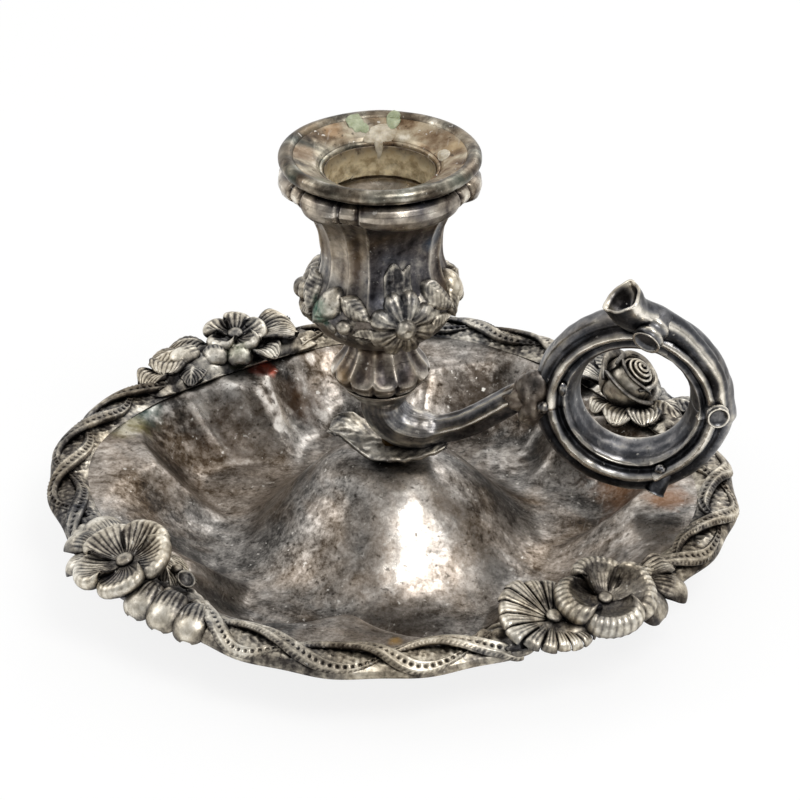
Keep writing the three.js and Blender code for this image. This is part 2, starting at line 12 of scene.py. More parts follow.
import bmesh
import bpy
import numpy as np
from mathutils import Euler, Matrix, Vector


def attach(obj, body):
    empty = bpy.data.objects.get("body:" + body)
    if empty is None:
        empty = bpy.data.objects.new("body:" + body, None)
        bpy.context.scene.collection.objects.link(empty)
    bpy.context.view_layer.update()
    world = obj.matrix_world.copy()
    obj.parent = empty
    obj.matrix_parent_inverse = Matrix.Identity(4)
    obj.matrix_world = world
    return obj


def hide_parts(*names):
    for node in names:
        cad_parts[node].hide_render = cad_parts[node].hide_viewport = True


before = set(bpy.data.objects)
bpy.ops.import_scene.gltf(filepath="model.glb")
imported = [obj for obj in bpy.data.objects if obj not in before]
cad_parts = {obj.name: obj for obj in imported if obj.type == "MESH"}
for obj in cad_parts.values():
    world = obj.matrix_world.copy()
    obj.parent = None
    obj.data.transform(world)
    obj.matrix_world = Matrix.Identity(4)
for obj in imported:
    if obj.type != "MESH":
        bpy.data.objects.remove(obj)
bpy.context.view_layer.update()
scene = bpy.context.scene
scene.view_settings.view_transform = "Standard"
MM = 0.001

# %% [markdown]
# ## The camera
# The photograph was taken from above the front, with a long lens. A camera can be placed by eye,
# but here it was worked out from the rim, the nozzle and the ring, whose real shapes are circles.
# Its focal length is kept in pixels of the square picture, and turned into a lens here.

# %% Camera
CAMERA_PLACE = Vector((99.82, -603.49, 377.46)) * MM
CAMERA_TARGET = Vector((1.95, 0.32, 34.54)) * MM
FOCAL_PIXELS = 3272
PICTURE_PIXELS = 800
SENSOR_WIDTH = 36

camera_lens = bpy.data.cameras.new("camera")
camera_lens.sensor_width = SENSOR_WIDTH
camera_lens.lens = SENSOR_WIDTH * FOCAL_PIXELS / PICTURE_PIXELS
camera = bpy.data.objects.new("camera", camera_lens)
camera.location = CAMERA_PLACE
camera.rotation_euler = (CAMERA_TARGET - CAMERA_PLACE).to_track_quat("-Z", "Y").to_euler()
scene.collection.objects.link(camera)
scene.camera = camera
print("lens", round(camera_lens.lens, 1), "mm")

# %% [markdown]
# ## Colours and nodes
# Colours are written as a painter's hex values, which are sRGB, and one function turns them to the
# linear values that light is reckoned in. One more function adds a shader node with its settings
# and links, and two short ones use it for sums and ranges, so that every material below reads as a
# short list.

# %% Colour and node helpers
def linear(hex_colour):
    channels = [int(hex_colour[i : i + 2], 16) / 255 for i in (1, 3, 5)]
    return [c / 12.92 if c <= 0.04045 else ((c + 0.055) / 1.055) ** 2.4 for c in channels] + [1]


def add_node(tree, kind, inputs=None, **settings):
    node = tree.nodes.new(kind)
    for name, value in settings.items():
        setattr(node, name, value)
    for socket, value in (inputs or {}).items():
        if isinstance(value, bpy.types.NodeSocket):
            tree.links.new(value, node.inputs[socket])
        else:
            node.inputs[socket].default_value = value
    return node


def add_math(tree, operation, *values):
    """One sum on numbers or sockets."""
    return add_node(tree, "ShaderNodeMath", dict(enumerate(values)), operation=operation).outputs[0]


def add_range(tree, value, low, high, at_low=0.0, at_high=1.0, **settings):
    """A value carried from one range over to another, and held at the ends."""
    limits = {"Value": value, "From Min": low, "From Max": high, "To Min": at_low, "To Max": at_high}
    return add_node(tree, "ShaderNodeMapRange", limits, **settings).outputs[0]


print("white is", linear("#ffffff"))

# %% [markdown]
# ## The studio
# The object stands on white paper under soft light. A paper sweep could be modelled, but a flat
# floor that runs out of sight is plainer. The world is white to the eye. To the metal it is white
# behind the object and dim in front, as a room is behind a photographer, because silver shows
# whatever stands round it. As a source of light it is weaker, so that a soft shadow stays.

# %% World
WORLD_LIGHT, FRONT_DIM = 0.66, 0.45
ROOM_FRONT, ROOM_BACK = -0.75, 0.45

world = bpy.data.worlds.new("white_studio")
world.use_nodes = True
scene.world = world
sky = world.node_tree
sky.nodes.clear()
ray = add_node(sky, "ShaderNodeLightPath").outputs
mirrored = add_math(sky, "MAXIMUM", ray["Is Glossy Ray"], ray["Is Transmission Ray"])
direction = add_node(sky, "ShaderNodeTexCoord").outputs["Generated"]
depth = add_node(sky, "ShaderNodeSeparateXYZ", {"Vector": direction}).outputs["Y"]
room = add_range(sky, depth, ROOM_FRONT, ROOM_BACK, FRONT_DIM, 1.0, interpolation_type="SMOOTHSTEP")
unseen = add_node(sky, "ShaderNodeMix", {"Factor": mirrored, "A": WORLD_LIGHT, "B": room}).outputs[0]
level = add_node(sky, "ShaderNodeMix", {"Factor": ray["Is Camera Ray"], "A": unseen, "B": 1.0}).outputs[0]
backdrop = add_node(sky, "ShaderNodeBackground", {"Color": linear("#ffffff"), "Strength": level}).outputs[0]
add_node(sky, "ShaderNodeOutputWorld", {"Surface": backdrop})
print("world light", WORLD_LIGHT, "and", FRONT_DIM, "in front")

# %% Floor and lamps
FLOOR_WHITE, FLOOR_GLOW, FLOOR_HALF = "#fcfcfb", 0.84, 6
LAMPS = {
    "softbox_right": {"place": (0.46, -0.44, 0.88), "size": 0.45, "power": 4.6},
    "softbox_left": {"place": (-1.00, -0.10, 0.75), "size": 0.70, "power": 2.4},
    "softbox_back": {"place": (0.35, 0.95, 0.80), "size": 0.60, "power": 2.2},
}

# Matt card on a light table: no gloss of its own, and to the eye it glows, so its shadow is faint.
paper = bpy.data.materials.new("white_card_lit_through")
paper.use_nodes = True
card_tree = paper.node_tree
card = card_tree.nodes["Principled BSDF"]
card.inputs["Base Color"].default_value = linear(FLOOR_WHITE)
card.inputs["Roughness"].default_value = 0.9
card.inputs["Specular IOR Level"].default_value = 0.1
card_ray = add_node(card_tree, "ShaderNodeLightPath").outputs["Is Camera Ray"]
seen = add_math(card_tree, "MULTIPLY", card_ray, FLOOR_GLOW)
glow = add_node(card_tree, "ShaderNodeEmission", {"Color": linear("#ffffff"), "Strength": 1.0}).outputs[0]
lit_card = add_node(card_tree, "ShaderNodeMixShader", {0: seen, 1: card.outputs[0], 2: glow}).outputs[0]
card_tree.links.new(lit_card, card_tree.nodes["Material Output"].inputs["Surface"])
corners = [(-1, -1), (1, -1), (1, 1), (-1, 1)]
floor_mesh = bpy.data.meshes.new("floor")
floor_mesh.from_pydata([(x * FLOOR_HALF, y * FLOOR_HALF, 0) for x, y in corners], [], [(0, 1, 2, 3)])
floor_mesh.materials.append(paper)
floor = bpy.data.objects.new("floor", floor_mesh)
scene.collection.objects.link(floor)

for lamp_name, lamp in LAMPS.items():
    light = bpy.data.lights.new(lamp_name, "AREA")
    light.energy = lamp["power"]
    light.size = lamp["size"]
    softbox = bpy.data.objects.new(lamp_name, light)
    softbox.location = lamp["place"]
    softbox.rotation_euler = (CAMERA_TARGET - softbox.location).to_track_quat("-Z", "Y").to_euler()
    scene.collection.objects.link(softbox)
print("lamps", list(LAMPS))

# %% [markdown]
# ## Tarnished silver
# Silver left alone turns straw-coloured, then brown, then blue-black, and handling rubs the high
# spots bright again. Paint could be put on by hand, but every piece here carries a number called
# relief at each point, 0 in a hollow and 1 on a ridge. In some places relief also carries painted
# light and shade. The metal takes its tarnish from that, from
# how shut in the spot is, and from noise: slow patches, blotches, grain. Two colour scales, one
# cool and one warm, change places slowly over the piece. Sizes are in millimetres.

# %% Noise, colour scales and marks
FLECK, SCRATCH = 0.8, 0.5
SCRATCH_TURNS = (0.5, 2.2)


def add_noise(tree, place, size, detail=4, roughness=0.6, distortion=0.0):
    """Noise whose lumps are about size millimetres across, with 0 in the middle of its range."""
    look = {"Scale": 0.5 / (size * MM), "Detail": detail, "Roughness": roughness, "Distortion": distortion}
    noise = add_node(tree, "ShaderNodeTexNoise", {"Vector": place, **look})
    return add_math(tree, "SUBTRACT", noise.outputs["Fac"], 0.5)


def add_scale(tree, value, colours):
    """A colour ramp with its colours at the given places."""
    ramp = add_node(tree, "ShaderNodeValToRGB", {"Fac": value})
    steps = ramp.color_ramp.elements
    while len(steps) < len(colours):
        steps.new(0.5)
    for step, (share, colour) in zip(steps, colours):
        step.position = share
        step.color = linear(colour)
    return ramp.outputs["Color"]


def add_cover(tree, colour, cover, over):
    """One colour laid over another where cover is 1."""
    layers = {"Factor": cover, "A": colour, "B": over}
    return add_node(tree, "ShaderNodeMix", layers, data_type="RGBA").outputs["Result"]


def add_marks(tree, place, colour, flecks):
    """Pale flecks, dark pits and two ways of long fine scratches."""
    stray = add_noise(tree, place, FLECK, detail=2)
    colour = add_cover(tree, colour, add_range(tree, stray, 0.19, 0.22, 0, flecks), linear("#dfdbd3"))
    colour = add_cover(tree, colour, add_range(tree, stray, -0.2, -0.16, flecks, 0), linear("#211c18"))
    for turn in SCRATCH_TURNS:
        long_ways = {"Vector": place, "Rotation": (0, 0, turn), "Scale": (1, 0.05, 1)}
        drawn = add_node(tree, "ShaderNodeMapping", long_ways).outputs[0]
        lines = add_range(tree, add_noise(tree, drawn, SCRATCH, detail=2), 0.16, 0.24, 0, 0.3 * flecks)
        colour = add_cover(tree, colour, lines, linear("#c9c4bc"))
    return colour


print("marks on silver:", FLECK, "mm flecks and", SCRATCH, "mm scratches")

# %% The silver recipe
# In millimetres: how near a wall shuts a spot in, how slowly the hue drifts, how coarsely stains fray,
# and the pits.
SHUT_IN, DRIFT, FRAY, PIT, PIT_DEPTH = 3, 12, 2.5, 0.5, 0.1
SHADE = 0.4


def tarnished_silver(name, cool, warm, noises, warmth=0.0, roughness=(0.5, 0.28), stains=(), flecks=0.0):
    """Metal that runs along its colour scales from hollows, at 0, to rubbed ridges, at 1."""
    material = bpy.data.materials.new(name)
    material.use_nodes = True
    tree = material.node_tree
    metal = tree.nodes["Principled BSDF"]
    place = add_node(tree, "ShaderNodeTexCoord").outputs["Object"]
    relief = add_node(tree, "ShaderNodeAttribute", attribute_name="relief").outputs["Fac"]
    shut_in = add_node(tree, "ShaderNodeAmbientOcclusion", {"Distance": SHUT_IN * MM}, samples=6).outputs["AO"]
    wear = add_math(tree, "ADD", relief, add_range(tree, shut_in, 0.1, 0.8, -SHADE, 0))
    for size, share in noises:
        lumps = add_noise(tree, place, size, detail=5, roughness=0.65, distortion=0.4)
        wear = add_math(tree, "MULTIPLY_ADD", lumps, share, wear)
    drift = add_noise(tree, place, DRIFT, detail=3, distortion=0.8)
    hue = add_range(tree, drift, -0.12 - warmth, 0.12 - warmth)
    colour = add_cover(tree, add_scale(tree, wear, cool), hue, add_scale(tree, wear, warm))
    edge = add_noise(tree, place, FRAY) if stains else None
    for spot, reach, stain, share in stains:
        middle = [v * MM for v in spot]
        away = add_node(tree, "ShaderNodeVectorMath", {0: place, 1: middle}, operation="DISTANCE").outputs["Value"]
        frayed = add_math(tree, "MULTIPLY_ADD", edge, 1.6 * reach * MM, away)
        cover = add_range(tree, frayed, 0.4 * reach * MM, reach * MM, share, 0)
        colour = add_cover(tree, colour, cover, linear(stain))
    if flecks:
        colour = add_marks(tree, place, colour, flecks)
    gloss = add_range(tree, wear, 0.1, 0.9, *roughness)
    pits = add_noise(tree, place, PIT, detail=3)
    pitted = add_node(tree, "ShaderNodeBump", {"Height": pits, "Strength": 0.35, "Distance": PIT_DEPTH * MM})
    tree.links.new(colour, metal.inputs["Base Color"])
    tree.links.new(gloss, metal.inputs["Roughness"])
    tree.links.new(pitted.outputs[0], metal.inputs["Normal"])
    metal.inputs["Metallic"].default_value = 1
    return material


print("silver recipe ready")

# %% Finishes
# Each scale has a place from 0 to 1 and a colour. Each noise has its size and how much it counts.
# Each stain has its place, its reach, its colour and how well it covers.

# Raised and hammered sheet: broad brown and black patches with pale scuffs and fine grain.
pan_silver = tarnished_silver(
    "raised_silver_brown_tarnish",
    [(0.0, "#242321"), (0.25, "#4d4a47"), (0.48, "#84807b"), (0.7, "#b0aba5"), (0.95, "#e6e2db")],
    [(0.0, "#261d15"), (0.25, "#524435"), (0.48, "#897d70"), (0.7, "#b5a99d"), (0.95, "#e8dfd3")],
    noises=[(16, 0.8), (4.5, 0.7), (1.1, 0.85), (0.4, 0.75)], roughness=(0.5, 0.27), flecks=0.55,
    stains=[
        ((-63, 15, 14.5), 7, "#8a8350", 0.5), ((-60, 22, 14.5), 6, "#4f6b63", 0.35),
        ((22, -60, 14), 3.5, "#8f8c4a", 0.6), ((52, 22, 6), 13, "#7a5230", 0.5),
        ((60, 1.8, 14.5), 6, "#85562c", 0.6), ((-37, 45, 13.4), 4.0, "#b45440", 0.9),
        ((14, -52, 8), 6, "#4d6a62", 0.3), ((-28, 44, 7), 7, "#4a3420", 0.55),
        ((-44, 30, 5), 12, "#3b2c20", 0.5), ((11, -62, 14.4), 2.2, "#c39a52", 0.8),
        ((-8, -52, 9), 4, "#6d7f76", 0.35), ((8, -34, 4), 11, "#3a3027", 0.55),
        ((10, 52, 8), 10, "#41362b", 0.5), ((-52, 38, 12), 7, "#3f3328", 0.45),
    ],
)
# Cast and chased: black in the recesses, cream-white where hands and cloths have reached.
ornament_silver = tarnished_silver(
    "cast_silver_rubbed",
    [(0.0, "#171718"), (0.25, "#434346"), (0.47, "#85827d"), (0.66, "#bcb6aa"), (0.9, "#f1ece1")],
    [(0.0, "#1c1814"), (0.25, "#4c443b"), (0.47, "#8e8474"), (0.66, "#c4b9a5"), (0.9, "#f2eada")],
    noises=[(6, 0.9), (1.6, 0.9), (0.5, 0.6)], roughness=(0.55, 0.36), flecks=0.4,
    stains=[
        ((-11.5, -12.5, 62.2), 4.0, "#4f7a66", 0.6), ((-15, -7, 58), 3.0, "#5d6a50", 0.4),
        ((-43, 46, 17), 4, "#74805c", 0.45), ((52, -52, 16), 7, "#4a4d58", 0.4),
        ((59, -42, 16), 6, "#43464f", 0.4), ((-46, -54, 15), 5, "#5a5f70", 0.35),
    ],
)
# Cast and left in the air: blue-black and fairly glossy, with thin bright edges.
handle_silver = tarnished_silver(
    "cast_silver_blue_black",
    [(0.0, "#16171a"), (0.3, "#45464a"), (0.5, "#7c7b7c"), (0.7, "#b5b0a6"), (0.92, "#f3ece0")],
    [(0.0, "#1c1917"), (0.3, "#4b4642"), (0.5, "#7e776e"), (0.7, "#b3a997"), (0.92, "#f0e7d5")],
    noises=[(8, 0.5), (1.5, 0.35), (0.5, 0.35)], warmth=-0.06, roughness=(0.38, 0.26), flecks=0.4,
)
# Stamped thin and burnished: smoother, with brown panels and polished arrises.
socket_silver = tarnished_silver(
    "stamped_silver_brown_tarnish",
    [(0.0, "#1e1e22"), (0.25, "#4d4d52"), (0.48, "#86837f"), (0.7, "#b6b0a8"), (0.92, "#ece6da")],
    [(0.0, "#261e18"), (0.25, "#594c3f"), (0.48, "#908372"), (0.7, "#bbae9b"), (0.92, "#eee5d4")],
    noises=[(7, 0.9), (2.0, 0.7), (0.7, 0.5)], roughness=(0.4, 0.24), flecks=0.4,
    stains=[
        ((-13, -9, 76), 5, "#7d6a4e", 0.4), ((-6, -13, 72), 4, "#6d5a45", 0.35),
        ((11, -6, 76), 3.5, "#3f5468", 0.4), ((5, -12, 80), 4, "#4a4038", 0.4),
        ((-2, 0, 58), 10, "#2c2620", 0.7), ((-9, -8, 43), 4, "#76603f", 0.35),
        ((9, -16, 87), 4, "#3d4250", 0.35),
    ],
)
# Spun and heated by candles: straw to brown, matt with old wax.
nozzle_silver = tarnished_silver(
    "spun_silver_straw_tarnish",
    [(0.0, "#262a28"), (0.25, "#545852"), (0.48, "#89877c"), (0.7, "#b6b09e"), (0.92, "#e4ddcd")],
    [(0.0, "#32241a"), (0.25, "#6a533d"), (0.48, "#9c886e"), (0.7, "#bfb198"), (0.92, "#e6dcc9")],
    noises=[(6, 1.2), (1.8, 0.7), (0.6, 0.5)], warmth=0.05, roughness=(0.5, 0.34), flecks=0.6,
    stains=[
        ((-14, 11, 91.4), 3.2, "#a8825a", 0.45), ((-9, 14, 91.2), 3.0, "#d8cfbc", 0.6),
        ((-18, -1, 91.6), 4.5, "#86694c", 0.5), ((13, 7, 91.6), 3.4, "#bfa67e", 0.5),
        ((8, 12, 91.4), 5, "#6b5642", 0.4), ((8, -12, 91.6), 3.0, "#7f8c80", 0.5),
        ((-12, -14, 91), 3.5, "#55665c", 0.5),
    ],
)
# The nozzle's edge, where damp hands lift it: grey-green with a few bright rubs.
rim_silver = tarnished_silver(
    "spun_silver_green_tarnish",
    [(0.0, "#171b1a"), (0.25, "#353a38"), (0.48, "#5c615b"), (0.7, "#93938a"), (0.92, "#e0dcd0")],
    [(0.0, "#231c16"), (0.25, "#4a3f34"), (0.48, "#786c5d"), (0.7, "#a79c8a"), (0.92, "#e2d9c9")],
    noises=[(6, 1.0), (1.8, 0.8), (0.6, 0.6)], warmth=0.05, roughness=(0.42, 0.28), flecks=0.4,
    stains=[
        ((-19, 9, 92), 6, "#84735c", 0.6), ((-21, -3, 92), 6, "#7c6c58", 0.55), ((-3, 20, 92), 7, "#6f6251", 0.5),
        ((16, 11, 92), 6, "#84735c", 0.55), ((-17, -11, 91), 4, "#41534b", 0.5), ((16, -10, 91), 5, "#3c4f4a", 0.5),
    ],
)
# Ran on hot and never dressed: dull, lumpy and grey-brown.
solder_metal = tarnished_silver(
    "soft_solder_dull",
    [(0.0, "#2a2827"), (0.4, "#6c6763"), (0.7, "#a09a92"), (0.95, "#d6d0c6")],
    [(0.0, "#30271f"), (0.4, "#786a5c"), (0.7, "#a99c8b"), (0.95, "#d9cfbf")],
    noises=[(3, 0.9), (0.8, 0.8)], roughness=(0.6, 0.42), flecks=0.6,
)
# Turned on a lathe and never seen: dull brown-yellow.
turned_brass = tarnished_silver(
    "turned_brass_dull",
    [(0.0, "#33270f"), (0.4, "#755b2c"), (0.7, "#a68747"), (0.95, "#cfb26f")],
    [(0.0, "#3a2810"), (0.4, "#7c5a2a"), (0.7, "#ab8545"), (0.95, "#d2b06c")],
    noises=[(3, 0.6), (0.6, 0.4)], roughness=(0.55, 0.4),
)
print("finishes", [m.name for m in bpy.data.materials])

# %% [markdown]
# ## Building with grids of points
# Silver sheet and castings are smooth skins, so each piece is worked out as a grid of points and
# skinned with quads. Modifiers could do part of it, but a grid keeps every rib, dot and flute where
# it is drawn, and lets relief be written down at each point. A shell is a closed skin: its points
# in millimetres, its faces, and its relief.

# %% Points
def unit(vectors):
    return vectors / np.maximum(np.linalg.norm(vectors, axis=-1, keepdims=True), 1e-9)


def ease(share):
    share = np.clip(share, 0, 1)
    return share * share * (3 - 2 * share)


def bump_at(value, middle, width):
    return np.exp(-(((value - middle) / width) ** 2))


def lengthwise(start, stop, steps):
    return np.linspace(start, stop, steps)[:, None]


def crosswise(start, stop, steps):
    return np.linspace(start, stop, steps)[None, :]


def full_turn(steps):
    return np.linspace(0, 2 * np.pi, steps, endpoint=False)[None, :]


def grid_of(x, y, z):
    """Points from three coordinates whose shapes go together."""
    return np.stack(np.broadcast_arrays(x, y, z), -1)


def cylindrical(radius, angle, height):
    """Points at a distance from an upright axis, an angle round it and a height."""
    return grid_of(radius * np.cos(angle), radius * np.sin(angle), height)


def travelled(path):
    """Distance along a path at each of its points."""
    return np.concatenate([[0], np.cumsum(np.linalg.norm(np.diff(path, axis=0), axis=1))])


def ripple(points, size, seed, count=20):
    """A smooth random field of about -1 to 1, whose lumps are about size millimetres across."""
    draw = np.random.default_rng(seed)
    total = np.zeros(points.shape[:-1])
    for _ in range(count):
        way = unit(draw.normal(size=3))
        wavelength = 2 * size * draw.uniform(0.7, 1.5)
        total += np.sin(points @ way * (2 * np.pi / wavelength) + draw.uniform(0, 2 * np.pi))
    return total / math.sqrt(count)


print("once round in four steps", full_turn(4).round(2))

# %% Shells
Shell = namedtuple("Shell", "points faces relief")


def skin(grid, relief, round_rows=False):
    """A closed shell from loops of points. The ends are capped unless the rows meet as well."""
    rows, columns = grid.shape[:2]
    strips = rows if round_rows else rows - 1
    first, second = np.meshgrid(np.arange(strips), np.arange(columns), indexing="ij")
    next_row, next_column = (first + 1) % rows, (second + 1) % columns
    corners = [
        first * columns + second, first * columns + next_column,
        next_row * columns + next_column, next_row * columns + second,
    ]
    faces = np.stack(corners, -1).reshape(-1, 4).tolist()
    if not round_rows:
        faces += [list(range(columns)), list(range((rows - 1) * columns, rows * columns))]
    relief = np.broadcast_to(relief, (rows, columns))
    return Shell(grid.reshape(-1, 3), faces, np.clip(relief, 0, 1).reshape(-1))


def two_faced(upper, lower, relief, under_relief, round_rows=False):
    """A closed shell from the two faces of a sheet, whose points go in pairs."""
    relief = np.broadcast_to(relief, upper.shape[:2])
    loop = np.concatenate([upper, lower[:, ::-1]], axis=1)
    return skin(loop, np.concatenate([relief, np.full_like(relief, under_relief)], axis=1), round_rows)


def sheet(top, thickness, relief, under_relief=0.2):
    """A closed shell from one face of a sheet, thickened underneath."""
    across = unit(np.cross(np.gradient(top, axis=0), np.gradient(top, axis=1)))
    return two_faced(top, top - across * thickness, relief, under_relief)


def placed(shells, at=(0, 0, 0), yaw=0, pitch=0, roll=0):
    """Shells turned by degrees, tip up for a positive pitch, and set at a place."""
    turn = np.array(Euler((math.radians(roll), -math.radians(pitch), math.radians(yaw))).to_matrix())
    return [Shell(shell.points @ turn.T + np.asarray(at), shell.faces, shell.relief) for shell in shells]


print("sheet and skin ready")


# %% Pieces
def piece(name, shells, finish, nodes=(), body="stand"):
    """One object from shells in millimetres, riding on a body in place of its CAD nodes."""
    points, faces, relief = [], [], []
    start = 0
    for shell in shells:
        points.append(shell.points)
        relief.append(shell.relief)
        faces += [[start + corner for corner in face] for face in shell.faces]
        start += len(shell.points)
    mesh = bpy.data.meshes.new(name)
    mesh.from_pydata((np.concatenate(points) * MM).tolist(), [], faces)
    wear = mesh.attributes.new("relief", "FLOAT", "POINT")
    wear.data.foreach_set("value", np.concatenate(relief).astype(np.float32))
    work = bmesh.new()
    work.from_mesh(mesh)
    bmesh.ops.recalc_face_normals(work, faces=work.faces)
    work.to_mesh(mesh)
    work.free()
    mesh.shade_smooth()
    mesh.materials.append(finish)
    made = bpy.data.objects.new(name, mesh)
    scene.collection.objects.link(made)
    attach(made, body)
    if nodes:
        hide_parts(*nodes)
    print(name, len(mesh.polygons), "faces")


# %% [markdown]
# ## The drip pan
# The pan was raised from one sheet: a ledge, a basin of eight scallops with a cusp between each
# two, and a dome in the middle. A cloth-like sculpt could do it, but its plan is regular, so its
# height is reckoned at each angle and radius. Creases fan out under each corner, and hammer work
# is added as slow random swells.

# %% Drip pan
PAN_RADIUS, RIM_DIP, RIM_HEIGHT, SHEET = 73.45, 4.8, 15.0, 1.0
LOBE_RADIUS, CUSP_DEPTH, WALL_RUN, LEDGE_RISE = 62.45, 10.0, 16.0, 1.2
DOME_HEIGHT, DOME_TOP, DOME_FOOT, STUD_HOLE = 21.0, 7.5, 36.0, 2.3
LOBES = 8
CREASES = (-14, -4.5, 4.5, 14)
PAN_STEPS, INNER_ROWS, LEDGE_ROWS = 720, 100, 16


def rim_dip(angle):
    return RIM_DIP * (1 - np.cos(4 * angle)) / 2


def from_cusp(angle):
    """Share of the way from a cusp, 0, to the middle of a scallop, 1."""
    turns = angle / (2 * np.pi) * LOBES
    share = 2 * np.abs(turns - np.round(turns))
    soft = 0.2 + 0.5 * bump_at((np.degrees(angle) + 180) % 360, 180, 22)
    return (1 + soft) * share**2 / (share + soft)


def slack(angle):
    """1 where the wall was raised softly and has no brink, which is at two of the scallops."""
    degrees = np.degrees(angle)[:, None]
    return bump_at(degrees, 203, 17) + bump_at(degrees, 338, 17)


def pan_rows(angle):
    """Radius and height of the pan's upper face, from the stud's hole to the edge."""
    edge = (LOBE_RADIUS - CUSP_DEPTH + CUSP_DEPTH * (1 - (1 - from_cusp(angle)) ** 2))[:, None]
    run = WALL_RUN + 9 * slack(angle)
    rim = (PAN_RADIUS - rim_dip(angle))[:, None]
    top = RIM_HEIGHT - LEDGE_RISE
    inner = STUD_HOLE + (edge - STUD_HOLE) * np.linspace(0, 1, INNER_ROWS)
    dome = np.cos(np.pi / 2 * np.clip((inner - DOME_TOP) / (DOME_FOOT - DOME_TOP), 0, 1)) ** 2
    climb = np.clip((inner - edge) / run + 1, 0, 1)
    climb = climb**1.8 + (ease(climb) - climb**1.8) * (0.35 + 0.65 * slack(angle))
    rise = (((DOME_HEIGHT - SHEET) * dome) ** 4 + ((top - SHEET) * climb) ** 4) ** 0.25
    share = np.linspace(0, 1, LEDGE_ROWS + 1)[1:]
    ledge = edge + (rim - edge) * share
    ledge_height = np.broadcast_to(top + LEDGE_RISE * np.sqrt(share), ledge.shape)
    return np.hstack([inner, ledge]), np.hstack([SHEET + rise, ledge_height])


# Pale and dark patches on the pan: the two coordinates, the reach, and how much paler or darker.
PATCHES = [
    (-48.8, 29.7, 2.4, 0.28), (-44, 36.7, 5, 0.2), (-32.7, 37.5, 4, 0.36), (-25.6, 35.4, 5, 0.26),
    (-31.4, 34.3, 2, 0.36), (-40.5, 27, 5, 0.2), (-27.7, 54.8, 1.2, 0.5), (-24.5, 58, 4, 0.12),
    (-24.4, 48.3, 5, 0.25), (56, -9, 8, 0.22), (61, -8, 3.5, -0.3), (33, 4, 2, 0.25),
    (5.3, 57.8, 6, 0.12), (0, 65, 4, 0.15), (-0.6, 47.4, 1.8, 0.3), (4.2, 47, 1.4, 0.3),
    (19.6, 36.5, 6, 0.32), (12, 52.4, 9, -0.2), (-53, 29, 5, -0.16), (-58, 29, 5, -0.2),
    (-49, -2.4, 6, 0.1), (-59, 19, 5, -0.22), (-52, 8.5, 5, -0.26), (-60, 3, 7, 0.12),
    (-62.5, 13, 3.6, 0.3), (-61.5, -6, 4, 0.14), (-57.5, 17.8, 4, -0.26), (-54, 23, 4.5, -0.26),
    (-54.8, -4.4, 5, -0.16), (2, -41, 10, -0.1), (-38, 48, 6, -0.2), (24, 5.3, 6, -0.12),
    (-36, 36.5, 2.2, 0.25),
]


def drip_pan():
    angle = full_turn(PAN_STEPS)[0]
    radius, height = pan_rows(angle)
    cusp = bump_at(from_cusp(angle), 0, 0.2)[:, None]
    wall = bump_at(radius, 50, 9)
    off_corner = (np.degrees(angle) % 90 - 45)[:, None]
    crease = sum(bump_at(off_corner, at, 1.3) - 0.6 * bump_at(off_corner, at + 3, 1.6) for at in CREASES)
    crease = crease * bump_at(radius, 54, 7)
    upper = cylindrical(radius, angle[:, None], height)
    loose = ease((radius - DOME_TOP) / 6) * ease((PAN_RADIUS - 8 - radius) / 4)
    hammered = 0.28 * ripple(upper, 12, 3) + 0.1 * ripple(upper, 4, 4) + 0.03 * ripple(upper, 1.5, 5)
    rise = upper[..., 2] + (0.45 * crease + loose * hammered) - SHEET
    # A soft floor keeps the hammer work off the table.
    upper[..., 2] = np.minimum(SHEET + 0.5 * (rise + np.sqrt(rise**2 + 0.09)), DOME_HEIGHT)
    lower = upper - np.array([0, 0, SHEET])
    brink = bump_at(np.arange(radius.shape[1]) - (INNER_ROWS - 1), 0, 1.6)[None, :]
    # Painted highlight: the spot called rubbed is a pale patch on the dome's front, where the right softbox's
    # reflection lies.
    rubbed = bump_at(np.hypot(upper[..., 0] - 7, upper[..., 1] + 16), 0, 10)
    relief = 0.43 + 0.1 * cusp * wall + 0.25 * crease + 0.08 * brink * (1 - slack(angle))
    relief = relief - 0.1 * wall + 0.4 * rubbed
    fray = 0.35 * ripple(upper, 1.5, 7)
    for x, y, reach, share in PATCHES:
        away = np.hypot(upper[..., 0] - x, upper[..., 1] - y) / reach + fray
        relief = relief + share * (1 - ease((away - 0.5) / 0.6))
    relief = relief + 0.1 * ease((radius - 58) / 8) + 0.05 * ripple(upper, 3, 6)
    return two_faced(upper, lower, relief, 0.35, round_rows=True)


piece("pan", [drip_pan()], pan_silver, ["drip_pan"])

# %% [markdown]
# ## The vine border
# Two ribbons of vine twine round a rolled bed on the rim. Each ribbon is broad where it crosses
# over and thin where it dives under. It was chased with a row of punched dots and a milled edge.
# Dots could be a texture, but they catch the light and hold the tarnish, so they are pressed into
# the points, and each ribbon leans with the roll of the bed. A slow random drift keeps the hand in it.

# %% Vine border
VINE_MIDDLE, VINE_SWAY, VINE_WAVES, VINE_HEIGHT = 71.2, 3.2, 12, 16.2
RIBBON_HALF, RIBBON_THICK, DOT_PITCH, DOT_RADIUS = 1.65, 1.4, 1.5, 0.38
BORDER_HALF_ANGLE, BED_HALF_ANGLE = math.radians(31), math.radians(38)
BED_FOOT = 14.4


